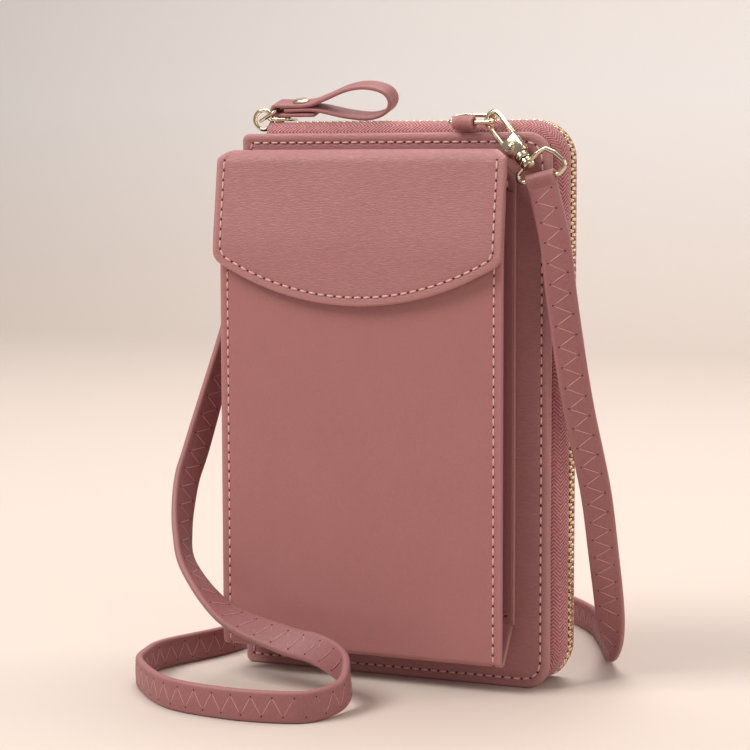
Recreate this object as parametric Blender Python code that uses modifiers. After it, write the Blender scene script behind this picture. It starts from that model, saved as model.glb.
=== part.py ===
import math

import bmesh
import bpy
from mathutils import Matrix, Vector

# A crossbody bag: a zip-round wallet with a flap pouch sewn to its front, and a long strap that
# clips to two D-rings. Metres, +Z up, the pouch faces -Y, and the bag stands on its foot edge.
# Places below are in the bag's own coordinates: x from the middle of the wallet, y from the front
# cover's outer face, z from the foot.

for old in list(bpy.data.objects):
    bpy.data.objects.remove(old)

# Common values
gap = 0.0003
overrun = 0.004
weld = 0.00001
empty_size = 0.01
steps_in_corner = 6
tape_steps = 5
ring_steps = 20

# Wallet covers and spine
cover_width = 0.1154
cover_height = 0.190
cover_thickness = 0.0022
cover_corner = 0.009
hinge_corner = 0.0025
wallet_depth = 0.022
spine_thickness = 0.0018
spine_inset = 0.0012
spine_bulge = 0.0004

# Zip tape and teeth
zip_stand = 0.0036
zip_foot = 0.0018
zip_corner = 0.013
zip_head_inset = 0.0084
zip_tail_inset = 0.0127
tape_thickness = 0.0008
tape_lap = 0.006
tape_turn = 0.001
foot_lap = 0.0064
foot_turn = 0.004
tooth_pitch = 0.0026
tooth_root = 0.0013
tooth_tip = 0.0009
tooth_reach = 0.00045
teeth_thickness = 0.0012
bead_far = 0.0023
bead_near = 0.0013

# Zip slider, ring, link, leather pull and its rivet
slider_length = 0.0078
slider_half_width = 0.0045
slider_plate = 0.001
slider_corner = 0.0015
slider_web_length = 0.0033
slider_web_inset = 0.0005
slider_web_half = 0.0007
slider_eye_radius = 0.0017
slider_eye_hole = 0.001
slider_eye_reach = 0.0008
slider_overhang = 0.00095
slider_teeth_gap = 0.0019
slider_eye_thickness = 0.0009
ring_radius = 0.0034
ring_wire = 0.00065
link_wire = 0.00065
link_seat_x = 0.00085
link_length_x = 0.00745
link_length_z = 0.0041
link_half_narrow = 0.0022
link_half_wide = 0.0049
pull_width = 0.008
pull_leather_thickness = 0.0014
pull_fold_radius = 0.0017
pull_loop_length = 0.0439
pull_loop_rise = 0.0079
pull_lower_length = 0.0149
pull_return_gap = 0.0029
rivet_place = 0.0085
rivet_head_radius = 0.003
rivet_head_thickness = 0.0009
rivet_shank_radius = 0.0011
rivet_cap_radius = 0.0022
rivet_cap_thickness = 0.0006

# Card panels and middle pocket
panel_foot = 0.0082
panel_height = 0.1746
panel_left_inset = 0.0027
panel_right_inset = 0.0072
panel_seat = 0.0004
lining_thickness = 0.001
card_thickness = 0.0007
pocket_left_inset = 0.0024
pocket_width = 0.1033
pocket_depth = 0.007
pocket_height = 0.140
pocket_foot = 0.010
pocket_wall = 0.0009
pocket_proud = 0.0001

# Pouch on the front cover
pouch_width = 0.10507
pouch_offset = -0.006835
pouch_depth = 0.01487
pouch_foot = 0.0097
pouch_drop = 0.008
pouch_back_foot = 0.022
pouch_back_thickness = 0.0014
pouch_back_clip = 0.0068
pouch_leather = 0.0015
pouch_mouth_drop = 0.0013
pouch_fold_radius = 0.0015
pouch_tuck_gap = 0.0011
pouch_tuck_rise = 0.0005
gusset_thickness = 0.001
gusset_edge = 0.0004
gusset_flange = 0.0047
gusset_fold = 0.002
gusset_top = 0.170
gusset_clear = 0.00045
gusset_lift = 0.0016

# Flap and magnet snap
flap_width = 0.1071
flap_thickness = 0.0019
flap_rest = 0.0004
flap_hinge_inset = 0.0009
flap_front_clear = 0.00163
flap_clip_across = 0.0118
flap_clip_deep = 0.0115
flap_drop = 0.0532
flap_bow_radius = 0.1008
flap_corner = 0.005
flap_crease_gap = 0.00015
root_thickness = 0.0018
root_height = 0.0139
root_seat = 0.0004
root_end_clear = 0.001
snap_radius = 0.007
snap_thickness = 0.001
snap_height = 0.142
snap_pocket_depth = 0.0011

# Strap tabs and D-rings
tab_width = 0.0076
tab_thickness = 0.0012
tab_roll_radius = 0.0018
tab_leg = 0.0095
tab_leg_inset = 0.0006
tab_roll_rise = 0.0032
tab_roll_front = 0.0014
right_tab_inset = 0.0189
tab_recess_depth = 0.0014
ring_shift = 0.0026
d_half_width = 0.0078
d_height = 0.0062
d_corner = 0.0024
d_wire = 0.00085
d_side_share = 0.25
left_tab_leg = 0.010
left_tab_foot = 0.168
left_bar_out = 0.0025
left_bar_rise = 0.002

# Snap hooks, one clip at each end of the strap; z runs to the hook's tip, x across, y to the back
block_half_width = 0.0033
block_half_depth = 0.0018
block_height = 0.0072
slot_left = 0.0036
slot_right = 0.0012
slot_half_depth = 0.001
slot_depth = 0.0058
pin_x = -0.0006
pin_drop = 0.0034
pin_radius = 0.0006
pin_bore = 0.0009
pin_head_radius = 0.0011
pin_head_thickness = 0.0004
gate_eye_radius = 0.0015
gate_eye_proud = 0.0001
gate_depth = 0.0014
gate_thickness = 0.0015
gate_bend = 0.0008
gate_tip = 0.0075
hook_half_width = 0.00275
hook_wire = 0.00085
hook_rise = 0.0101
hook_root_x = 0.0024
hook_root_depth = 0.001
hook_end = 0.0081
spindle_top = 0.0066
neck_radius = 0.0016
neck_end = 0.0076
barrel_radius = 0.0025
barrel_end = 0.0099
post_radius = 0.0008
post_end = 0.0124
collar_radius = 0.0023
collar_top = 0.0102
collar_end = 0.0132
collar_bore = 0.00115
collar_bore_end = 0.0128
collar_middle = 0.0117
eye_wire = 0.00075
eye_half_width = 0.0063
eye_height = 0.0088
eye_drop = 0.0063
right_eye_slew = 0.00277
right_hook_reach = 0.0098
left_hook_reach = 0.0106

# Strap and the folds that hold it to the eyes
strap_width = 0.0105
strap_thickness = 0.0026
fold_thickness = 0.0011
fold_radius = 0.00165
fold_length = 0.009

# Places worked out from the sizes
cover_half = cover_width / 2
back_inner = wallet_depth - cover_thickness
zip_y = wallet_depth / 2
zip_x = cover_half + zip_stand
zip_z = cover_height + zip_stand
pouch_left = pouch_offset - pouch_width / 2
pouch_right = pouch_offset + pouch_width / 2
pouch_top = cover_height - pouch_drop
right_tab_place = pouch_right - right_tab_inset
flap_under = pouch_top + flap_rest
flap_top_z = flap_under + flap_thickness
flap_hinge_y = -(gap + pouch_back_thickness + flap_hinge_inset)
flap_edge_y = -(pouch_depth + flap_front_clear)
flap_inner_y = flap_edge_y - gap
flap_outer_y = flap_inner_y - flap_thickness
flap_left = pouch_offset - flap_width / 2
flap_right = pouch_offset + flap_width / 2
zip_head_x = -(cover_half - zip_head_inset)
zip_tail_x = -(cover_half - zip_tail_inset)
zip_quarter = zip_corner * math.pi / 2
zip_top_run = zip_x - zip_corner - zip_head_x
zip_side_run = zip_z - zip_foot - 2 * zip_corner
zip_foot_run = zip_x - zip_corner - zip_tail_x
slider_left = zip_head_x - slider_overhang
slider_eye_x = slider_left - slider_eye_reach
slider_plate_z = zip_z + teeth_thickness / 2 + gap + slider_plate / 2
left_tab_x = -(cover_half - spine_inset + spine_bulge + spine_thickness / 2 + gap + tab_thickness / 2)

# Directions
right_ring_lean = math.radians(25)
left_ring_lean = math.radians(30)
right_ring_up = Vector((0, math.cos(right_ring_lean), math.sin(right_ring_lean)))
left_ring_up = Vector((-math.sin(left_ring_lean), 0, -math.cos(left_ring_lean)))
right_hook_down = Vector((0.664, -0.32, -0.677)).normalized()
right_hook_side = Vector((0.714, 0, 0.701))
left_hook_down = Vector((-0.05, 0, -1)).normalized()
left_hook_side = Vector((1, 0, -0.05))
right_strap_down = Vector((0.38, -0.03, -0.924)).normalized()
right_strap_side = Vector((0.927, 0, 0.375))
left_strap_down = Vector((-0.054, 0, -1)).normalized()
left_strap_side = Vector((0, 1, 0))

# The row of card slots on each cover, as shares of the panel's height and of its slot steps
card_top_shares = (0.50, 0.61, 0.71, 0.81)
# Where the link's wire reaches its full width, and where the leather's upper layer starts to rise
link_shoulder_share = 0.5
pull_flat_share = 0.26
# The leather pull's loop past its rivet, as shares of its length and of its rise over the return
pull_loop_shares = (
    (0.41, 0.443), (0.635, 0.90), (0.81, 1.0), (0.955, 0.77), (1.0, 0.304),
    (0.943, -0.165), (0.795, -0.405), (0.59, -0.29), (0.34, 0.0),
)
# The wire eye of each swivel, as shares of its base's half width and of its height
right_eye_shares = (
    (-0.17, 0.80), (0.24, 0.94), (0.74, 1.0), (1.15, 0.72), (1.47, 0.30), (1.46, 0.07), (1.0, 0.0),
    (-1.0, 0.0), (-1.18, 0.12), (-1.2, 0.30), (-1.17, 0.48), (-0.72, 0.64),
)
left_eye_shares = (
    (0.30, 0.76), (0.54, 0.95), (0.82, 0.80), (1.05, 0.56), (1.14, 0.27), (1.0, 0.0),
    (-1.0, 0.0), (-1.14, 0.27), (-1.05, 0.56), (-0.82, 0.80), (-0.54, 0.95), (-0.30, 0.76),
)
# The strap's fold beside its eye, from its free end up, as shares of its length and its roll
fold_shares = ((1.0, 0.436), (0.67, 0.436), (0.28, 0.79))

# The strap's route by hand: place in the bag's coordinates, then the direction of its width
strap_route = (
    ((-0.0662, 0.0110, 0.1367), (0, 1, 0)),
    ((-0.0675, 0.0100, 0.1220), (0.15, 0.99, 0)),
    ((-0.0752, -0.0020, 0.0800), (0.5, 0.86, 0)),
    ((-0.0772, -0.0080, 0.0655), (0.35, 0.93, 0.1)),
    ((-0.0745, -0.0165, 0.0495), (0.1, 0.98, 0.2)),
    ((-0.0681, -0.0230, 0.0375), (-0.15, 0.93, 0.3)),
    ((-0.0495, -0.0310, 0.0241), (-0.2, 0.8, 0.55)),
    ((-0.0260, -0.0350, 0.0179), (0, 0.6, 0.8)),
    ((-0.0138, -0.0370, 0.0164), (0, 0.5, 0.86)),
    ((-0.0038, -0.0410, 0.0139), (-0.1, 0.35, 0.93)),
    ((0.0032, -0.0475, 0.0104), (-0.15, 0.1, 0.98)),
    ((0.0050, -0.0560, 0.0066), (0, 0, 1)),
    ((0.0015, -0.0678, 0.0054), (0, 0, 1)),
    ((-0.0062, -0.0740, 0.0054), (0, 0, 1)),
    ((-0.0266, -0.0766, 0.0054), (0, 0, 1)),
    ((-0.0519, -0.0708, 0.0054), (0, 0, 1)),
    ((-0.0731, -0.0505, 0.0054), (0, 0, 1)),
    ((-0.0790, -0.0349, 0.0054), (0, 0, 1)),
    ((-0.0797, -0.0198, 0.0054), (0, 0, 1)),
    ((-0.0699, 0.0080, 0.0054), (0, 0, 1)),
    ((-0.0680, 0.0330, 0.0054), (0, 0, 1)),
    ((-0.0790, 0.0850, 0.0054), (0, 0, 1)),
    ((-0.0800, 0.1120, 0.0054), (0, 0, 1)),
    ((-0.0660, 0.1300, 0.0054), (0, 0, 1)),
    ((-0.0480, 0.1260, 0.0054), (0, 0, 1)),
    ((-0.0360, 0.0940, 0.0054), (0, 0, 1)),
    ((-0.0220, 0.0840, 0.0054), (0, 0, 1)),
    ((-0.0100, 0.0960, 0.0054), (0, 0, 1)),
    ((0.0080, 0.1240, 0.0054), (0, 0, 1)),
    ((0.0270, 0.1120, 0.0054), (0, 0, 1)),
    ((0.0430, 0.0940, 0.0054), (0, 0, 1)),
    ((0.0520, 0.0770, 0.0054), (0, 0, 1)),
    ((0.0580, 0.0620, 0.0056), (-0.1, 0, 0.99)),
    ((0.0625, 0.0490, 0.0085), (-0.55, 0, 0.83)),
    ((0.0672, 0.0370, 0.0175), (-0.88, -0.1, 0.4)),
    ((0.0708, 0.0270, 0.0290), (-0.95, -0.25, 0)),
    ((0.0718, 0.0060, 0.0696), (-0.94, -0.3, 0)),
    ((0.0678, -0.0024, 0.1009), (-0.94, -0.3, -0.1)),
    ((0.0637, -0.0064, 0.1340), (-0.93, -0.25, -0.15)),
    ((0.0615, -0.0076, 0.1540), (-0.93, -0.1, -0.3)),
    ((0.0600, -0.00733, 0.1660), (-0.927, 0, -0.375)),
)
strap_steps_per_span = 2

# Looks: base colour, roughness, metallic
leather = ((0.45, 0.20, 0.19), 0.48, 0.0)
dark_leather = ((0.36, 0.15, 0.145), 0.55, 0.0)
lining = ((0.38, 0.17, 0.165), 0.8, 0.0)
tape_cloth = ((0.42, 0.19, 0.19), 0.85, 0.0)
gold = ((0.83, 0.66, 0.47), 0.25, 1.0)
steel = ((0.6, 0.58, 0.55), 0.35, 1.0)

# Which way an outline or a band faces: its x and y run along x and z, y and z, or x and y
FRONT = (math.radians(90), 0, 0)
SIDE = (math.radians(90), 0, math.radians(90))
PLAN = (0, 0, 0)

parts = bpy.data.collections.new("crossbody_bag")
cutters = bpy.data.collections.new("crossbody_bag_cutters")
bpy.context.scene.collection.children.link(parts)
bpy.context.scene.collection.children.link(cutters)
pivot_places = {}


def add(name, data, look):
    piece = bpy.data.objects.new(name, data)
    parts.objects.link(piece)
    colour, roughness, metallic = look
    material = bpy.data.materials.new(name)
    material.use_nodes = True
    shader = material.node_tree.nodes["Principled BSDF"]
    shader.inputs["Base Color"].default_value = (*colour, 1)
    shader.inputs["Roughness"].default_value = roughness
    shader.inputs["Metallic"].default_value = metallic
    data.materials.append(material)
    return piece


def from_bmesh(name, bm, look):
    mesh = bpy.data.meshes.new(name)
    bmesh.ops.recalc_face_normals(bm, faces=bm.faces)
    bm.to_mesh(mesh)
    bm.free()
    return add(name, mesh, look)


def pivot(name, place, parent=None, frame=None):
    # An empty on a joint's axis, at a place in the bag's coordinates
    empty = bpy.data.objects.new(name, None)
    empty.empty_display_size = empty_size
    parts.objects.link(empty)
    pivot_places[name] = Vector(place)
    if parent:
        empty.parent = parent
        empty.location = Vector(place) - pivot_places[parent.name]
    if frame:
        empty.rotation_euler = frame.to_euler()
    return empty


def carry(piece, carrier):
    # The piece keeps the place that it was made at, and moves with its carrier
    piece.parent = carrier
    piece.matrix_parent_inverse = Matrix.Translation(-pivot_places[carrier.name])
    return piece


def hang(piece, frame_empty):
    # The piece was made in the empty's own frame
    piece.parent = frame_empty
    return piece


def rounded(corners):
    # Outline points from (x, y, radius) corners, each round corner drawn as an arc
    points = []
    for index, (x, y, radius) in enumerate(corners):
        here = Vector((x, y))
        if radius == 0:
            points.append(here)
            continue
        back = (Vector(corners[index - 1][:2]) - here).normalized()
        onward = (Vector(corners[(index + 1) % len(corners)][:2]) - here).normalized()
        half = back.angle(onward) / 2
        centre = here + (back + onward).normalized() * radius / math.sin(half)
        reach = radius / math.tan(half)
        first = (here + back * reach - centre).normalized()
        final = (here + onward * reach - centre).normalized()
        for step in range(steps_in_corner + 1):
            arm = first.slerp(final, step / steps_in_corner).normalized()
            points.append(centre + arm * radius)
    return points


def arc(centre_x, centre_y, radius, start, end, steps):
    # Points on an arc between two angles in degrees
    points = []
    for step in range(steps + 1):
        angle = math.radians(start + (end - start) * step / steps)
        points.append(Vector((centre_x + radius * math.cos(angle), centre_y + radius * math.sin(angle))))
    return points


def curve(name, points, closed, dimensions):
    data = bpy.data.curves.new(name, "CURVE")
    data.dimensions = dimensions
    spline = data.splines.new("POLY")
    spline.points.add(len(points) - 1)
    for point, place in zip(spline.points, points):
        point.co = (*place, 0, 1) if len(place) == 2 else (*place, 1)
    spline.use_cyclic_u = closed
    return data


def plate(name, outline, thickness, facing, place, look):
    data = curve(name, outline, True, "2D")
    data.fill_mode = "BOTH"
    data.extrude = thickness / 2
    piece = add(name, data, look)
    piece.rotation_euler = facing
    piece.location = place
    return piece


def band(name, path, width, thickness, facing, place, look):
    # A strip of leather: an open path stretched across its width, then given its thickness
    data = curve(name, path, False, "2D")
    data.fill_mode = "NONE"
    data.extrude = width / 2
    piece = add(name, data, look)
    piece.rotation_euler = facing
    piece.location = place
    wall = piece.modifiers.new("thickness", "SOLIDIFY")
    wall.thickness = thickness
    wall.offset = 0
    wall.use_even_offset = True
    return piece


def wire(name, points, radius, closed, look):
    data = curve(name, points, closed, "3D")
    data.bevel_depth = radius
    data.bevel_resolution = 2
    data.use_fill_caps = True
    data.twist_mode = "MINIMUM"
    return add(name, data, look)


def block(name, low, high, look):
    bm = bmesh.new()
    size = Vector(high) - Vector(low)
    middle = (Vector(high) + Vector(low)) / 2
    bmesh.ops.create_cube(bm, size=1, matrix=Matrix.Translation(middle) @ Matrix.Diagonal((*size, 1)))
    return from_bmesh(name, bm, look)


def disc(name, radius, thickness, place, look, sides=24):
    # A round disc whose axis runs along y
    bm = bmesh.new()
    turn = Matrix.Translation(place) @ Matrix.Rotation(math.radians(90), 4, "X")
    bmesh.ops.create_cone(
        bm, cap_ends=True, segments=sides, radius1=radius, radius2=radius, depth=thickness, matrix=turn)
    return from_bmesh(name, bm, look)


def turned(name, profile, look, steps=16):
    # A solid of revolution about z from (radius, z) points, top to bottom
    mesh = bpy.data.meshes.new(name)
    mesh.from_pydata([(r, 0, z) for r, z in profile], [(i, i + 1) for i in range(len(profile) - 1)], [])
    piece = add(name, mesh, look)
    screw = piece.modifiers.new("turn", "SCREW")
    screw.axis = "Z"
    screw.steps = steps
    screw.render_steps = steps
    screw.use_merge_vertices = True
    screw.merge_threshold = weld
    return piece


def as_mesh(piece):
    # A plain mesh object in place of a curve or of a piece with modifiers
    bpy.context.view_layer.update()
    graph = bpy.context.evaluated_depsgraph_get()
    mesh = bpy.data.meshes.new_from_object(piece.evaluated_get(graph))
    bm = bmesh.new()
    bm.from_mesh(mesh)
    bmesh.ops.remove_doubles(bm, verts=bm.verts, dist=weld)
    bmesh.ops.recalc_face_normals(bm, faces=bm.faces)
    bm.to_mesh(mesh)
    bm.free()
    name = piece.name
    place = piece.matrix_world.copy()
    bpy.data.objects.remove(piece)
    solid = bpy.data.objects.new(name, mesh)
    solid.matrix_world = place
    parts.objects.link(solid)
    return solid


def combine(piece, tool, operation):
    # Cuts the piece with the tool, or joins the tool to it
    step = piece.modifiers.new(tool.name, "BOOLEAN")
    step.operation = operation
    step.object = tool
    parts.objects.unlink(tool)
    cutters.objects.link(tool)
    tool.hide_render = True
    tool.display_type = "WIRE"


def zip_point(distance, outward):
    # A point (x, z) on the zip's centre line, a distance from its head, moved outwards
    centre_x = zip_x - zip_corner
    run = distance - zip_top_run
    foot = run - zip_quarter - zip_side_run
    if run <= 0:
        return Vector((centre_x + run, zip_z + outward))
    if foot > zip_quarter:
        return Vector((centre_x - (foot - zip_quarter), zip_foot - outward))
    if run <= zip_quarter:
        angle = math.pi / 2 - run / zip_corner
        centre_z = zip_z - zip_corner
    elif foot > 0:
        angle = -foot / zip_corner
        centre_z = zip_foot + zip_corner
    else:
        return Vector((zip_x + outward, zip_z - zip_corner - (run - zip_quarter)))
    arm = zip_corner + outward
    return Vector((centre_x + arm * math.cos(angle), centre_z + arm * math.sin(angle)))


def zip_tape(name, side):
    # One half of the tape: it leaves its cover's inner face and curves in to the teeth
    foot_start = zip_top_run + zip_quarter + zip_side_run
    turns = [zip_quarter * step / steps_in_corner for step in range(steps_in_corner + 1)]
    stations = [0]
    stations += [zip_top_run + turn for turn in turns]
    stations += [foot_start + turn for turn in turns]
    stations.append(foot_start + zip_quarter + zip_foot_run)
    seat_y = cover_thickness + gap + tape_thickness / 2
    inner_y = zip_y - bead_far - gap
    bm = bmesh.new()
    rows = []
    for station in stations:
        foot_share = min(max((station - foot_start) / zip_quarter, 0), 1)
        lap = -(tape_lap + zip_stand) * (1 - foot_share) - (foot_lap - zip_foot) * foot_share
        turn = -(tape_turn + zip_stand) * (1 - foot_share) - (foot_turn - zip_foot) * foot_share
        profile = [(lap, seat_y)]
        for step in range(tape_steps + 1):
            angle = math.radians(90) * step / tape_steps
            profile.append((turn * (1 - math.sin(angle)), seat_y + (inner_y - seat_y) * (1 - math.cos(angle))))
        row = []
        for outward, y in profile:
            x, z = zip_point(station, outward)
            row.append(bm.verts.new((x, y if side > 0 else wallet_depth - y, z)))
        rows.append(row)
    for row, following in zip(rows, rows[1:]):
        for k in range(len(row) - 1):
            bm.faces.new((row[k], row[k + 1], following[k + 1], following[k]))
    piece = from_bmesh(name, bm, tape_cloth)
    wall = piece.modifiers.new("thickness", "SOLIDIFY")
    wall.thickness = tape_thickness
    wall.offset = 0
    wall.use_even_offset = True
    return piece


def zip_teeth(name, side):
    # One comb of teeth: a bead along the tape's edge with a tooth at each pitch
    first = slider_length - slider_overhang + slider_teeth_gap
    run = zip_top_run + zip_side_run + zip_foot_run + 2 * zip_quarter
    count = int((run - first) / tooth_pitch)
    if side < 0:
        first += tooth_pitch / 2
        count -= 1
    slope = (tooth_root - tooth_tip) / 2
    bm = bmesh.new()

    def pair(distance, from_middle):
        y = zip_y - side * from_middle
        places = []
        for outward in (teeth_thickness / 2, -teeth_thickness / 2):
            x, z = zip_point(distance, outward)
            places.append(bm.verts.new((x, y, z)))
        return places

    start = [pair(first, bead_far), pair(first, bead_near)]
    bm.faces.new((start[0][0], start[0][1], start[1][1], start[1][0]))
    for index in range(count):
        here = first + index * tooth_pitch
        far, near = start
        tip_a = pair(here + slope, -tooth_reach)
        tip_b = pair(here + slope + tooth_tip, -tooth_reach)
        root = pair(here + tooth_root, bead_near)
        next_far = pair(here + tooth_pitch, bead_far)
        next_near = pair(here + tooth_pitch, bead_near)
        outline = [far, near, tip_a, tip_b, root, next_near, next_far]
        for layer in (0, 1):
            bm.faces.new([corner[layer] for corner in outline])
        for one, other in zip(outline[1:-1], outline[2:-1]):
            bm.faces.new((one[0], other[0], other[1], one[1]))
        bm.faces.new((far[0], next_far[0], next_far[1], far[1]))
        start = [next_far, next_near]
    bm.faces.new((start[0][0], start[0][1], start[1][1], start[1][0]))
    return from_bmesh(name, bm, gold)


def cover(name, y_low, y_high):
    outline = rounded([
        (-cover_half, 0, hinge_corner), (cover_half, 0, cover_corner),
        (cover_half, cover_height, cover_corner), (-cover_half, cover_height, hinge_corner),
    ])
    return plate(name, outline, y_high - y_low, FRONT, (0, (y_low + y_high) / 2, 0), leather)


def card_panel(name, side):
    # A lining board with card slots stepped down on it
    low = panel_foot
    y = cover_thickness + panel_seat
    front = y + lining_thickness + len(card_top_shares) * card_thickness
    outline = [(y, low), (front, low)]
    for share in card_top_shares:
        outline += [(front, low + panel_height * share), (front - card_thickness, low + panel_height * share)]
        front -= card_thickness
    outline += [(front, low + panel_height), (y, low + panel_height)]
    if side < 0:
        outline = [(wallet_depth - y, z) for y, z in reversed(outline)]
    left = -cover_half + panel_left_inset
    right = cover_half - panel_right_inset
    return plate(name, outline, right - left, SIDE, ((left + right) / 2, 0, 0), lining)


def middle_pocket():
    left = -cover_half + pocket_left_inset
    front = zip_y - pocket_depth / 2 - pocket_proud
    box = block(
        "middle_pocket", (left, front, pocket_foot),
        (left + pocket_width, front + pocket_depth, pocket_foot + pocket_height), lining)
    bm = bmesh.new()
    bm.from_mesh(box.data)
    top = max(bm.faces, key=lambda face: face.calc_center_median().z)
    bmesh.ops.delete(bm, geom=[top], context="FACES_ONLY")
    bm.to_mesh(box.data)
    bm.free()
    wall = box.modifiers.new("thickness", "SOLIDIFY")
    wall.thickness = pocket_wall
    wall.offset = -1
    wall.use_even_offset = True
    return box


def pouch_fold():
    # Where the pouch front turns at its foot: the fold's centre, its end and the tuck's direction
    centre = Vector((-(pouch_depth - pouch_leather / 2 - pouch_fold_radius),
                     pouch_foot + pouch_leather / 2 + pouch_fold_radius))
    end = Vector((-(gap + pouch_back_thickness + pouch_tuck_gap), pouch_back_foot + pouch_tuck_rise))
    reach = end - centre
    lean = math.atan2(reach.y, reach.x) + math.asin(pouch_fold_radius / reach.length)
    return centre, end, lean


def pouch_front():
    centre, end, lean = pouch_fold()
    path = [Vector((centre.x - pouch_fold_radius, pouch_top - pouch_mouth_drop))]
    path += arc(centre.x, centre.y, pouch_fold_radius, 180, 270 + math.degrees(lean), 8)
    path.append(end)
    return band("pouch_front", path, pouch_width, pouch_leather, SIDE, (pouch_offset, 0, 0), leather)


def pouch_gusset(name, side):
    # A side wall folded inwards, cut along the tuck at its foot
    edge = pouch_offset + side * (pouch_width / 2 - gusset_edge)
    front = -(pouch_depth - pouch_leather - gusset_clear - gusset_thickness / 2)
    back = -(gap + pouch_back_thickness + gap + gusset_thickness / 2)
    path = [
        (edge, front), (edge - side * gusset_flange, front),
        (edge - side * (gusset_flange + gusset_fold), (front + back) / 2),
        (edge - side * gusset_flange, back), (edge, back),
    ]
    wall = band(
        name, path, gusset_top, gusset_thickness, PLAN, (0, 0, gusset_top / 2), dark_leather)
    wall = as_mesh(wall)
    centre, end, lean = pouch_fold()
    lift = gusset_lift / math.cos(lean)
    near = -(pouch_depth + overrun)
    foot = [
        (near, end.y + (near - end.x) * math.tan(lean) + lift), (0, end.y - end.x * math.tan(lean) + lift),
        (0, -overrun), (near, -overrun),
    ]
    cutter = as_mesh(plate(
        name + "_foot_cut", foot, gusset_flange + gusset_fold + overrun, SIDE,
        (edge - side * (gusset_flange + gusset_fold) / 2, 0, 0), dark_leather))
    combine(wall, carry(cutter, bag), "DIFFERENCE")
    return wall


def flap_top():
    outline = [
        (flap_left + flap_clip_across, flap_hinge_y), (flap_right - flap_clip_across, flap_hinge_y),
        (flap_right, flap_hinge_y - flap_clip_deep), (flap_right, flap_edge_y),
        (flap_left, flap_edge_y), (flap_left, flap_hinge_y - flap_clip_deep),
    ]
    return plate("flap_top", outline, flap_thickness, PLAN, (0, 0, flap_under + flap_thickness / 2), leather)


def flap_front():
    # The turned-down front, its lower edge bowed, with a seat for the snap in its back
    half = flap_width / 2
    spread = math.degrees(math.asin(half / flap_bow_radius))
    centre_z = flap_top_z - flap_drop + flap_bow_radius
    bow = arc(pouch_offset, centre_z, flap_bow_radius, 270 + spread, 270 - spread, 14)
    corners = [(flap_right, flap_top_z, 0), (bow[0].x, bow[0].y, flap_corner)]
    corners += [(point.x, point.y, 0) for point in bow[2:-2]]
    corners += [(bow[-1].x, bow[-1].y, flap_corner), (flap_left, flap_top_z, 0)]
    sheet = as_mesh(plate(
        "flap_front", rounded(corners), flap_thickness, FRONT,
        (0, (flap_inner_y + flap_outer_y) / 2, 0), leather))
    seat = disc(
        "flap_snap_seat", snap_radius + gap, snap_pocket_depth + overrun,
        (pouch_offset, flap_inner_y - snap_pocket_depth / 2 + overrun / 2, snap_height), leather)
    combine(sheet, carry(seat, flap_fold), "DIFFERENCE")
    return sheet


def zip_slider():
    # Two plates on a web, with a round eye at the head end for the ring
    left = slider_left
    outline = rounded([
        (left, zip_y - slider_half_width, slider_corner),
        (left + slider_length, zip_y - slider_half_width, slider_corner),
        (left + slider_length, zip_y + slider_half_width, slider_corner),
        (left, zip_y + slider_half_width, slider_corner),
    ])
    body = as_mesh(plate("zip_slider", outline, slider_plate, PLAN, (0, 0, slider_plate_z), gold))
    below = zip_z - teeth_thickness / 2 - gap - slider_plate / 2
    under = as_mesh(plate("slider_under", outline, slider_plate, PLAN, (0, 0, below), gold))
    web = block(
        "slider_web", (left + slider_web_inset, zip_y - slider_web_half, below),
        (left + slider_web_inset + slider_web_length, zip_y + slider_web_half, slider_plate_z), gold)
    tongue = arc(slider_eye_x, zip_y, slider_eye_radius, 90, 270, 10)
    tongue += [Vector((left + slider_corner, zip_y - slider_eye_radius)),
               Vector((left + slider_corner, zip_y + slider_eye_radius))]
    eye = as_mesh(plate(
        "slider_eye", tongue, slider_eye_thickness, PLAN, (0, 0, slider_plate_z), gold))
    hole = turned("slider_eye_hole", [
        (0, overrun), (slider_eye_hole, overrun), (slider_eye_hole, -overrun), (0, -overrun)], gold)
    hole.location = (slider_eye_x, zip_y, slider_plate_z)
    for tool in (web, under, eye):
        combine(body, carry(tool, slider_pivot), "UNION")
    combine(body, carry(hole, slider_pivot), "DIFFERENCE")
    return body


def pull_ring():
    centre = (slider_eye_x - ring_radius, zip_y, slider_plate_z)
    points = []
    for point in arc(centre[0], centre[2], ring_radius, 0, 360 - 360 / ring_steps, ring_steps - 1):
        points.append((point.x, zip_y, point.y))
    return wire("pull_ring", points, ring_wire, True, gold)


def pull_link():
    # A wire loop, narrow at the ring and wide at the leather
    seat = Vector((link_seat.x, zip_y, link_seat.z))
    along = Vector((link_length_x, 0, link_length_z))
    across = Vector((0, 1, 0))
    half = [(link_half_narrow, 0), (link_half_wide, link_shoulder_share), (link_half_wide, 1)]
    corners = half + [(-y, share) for y, share in reversed(half)]
    points = [seat + across * y + along * share for y, share in corners]
    return wire("pull_link", points, link_wire, True, gold)


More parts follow.
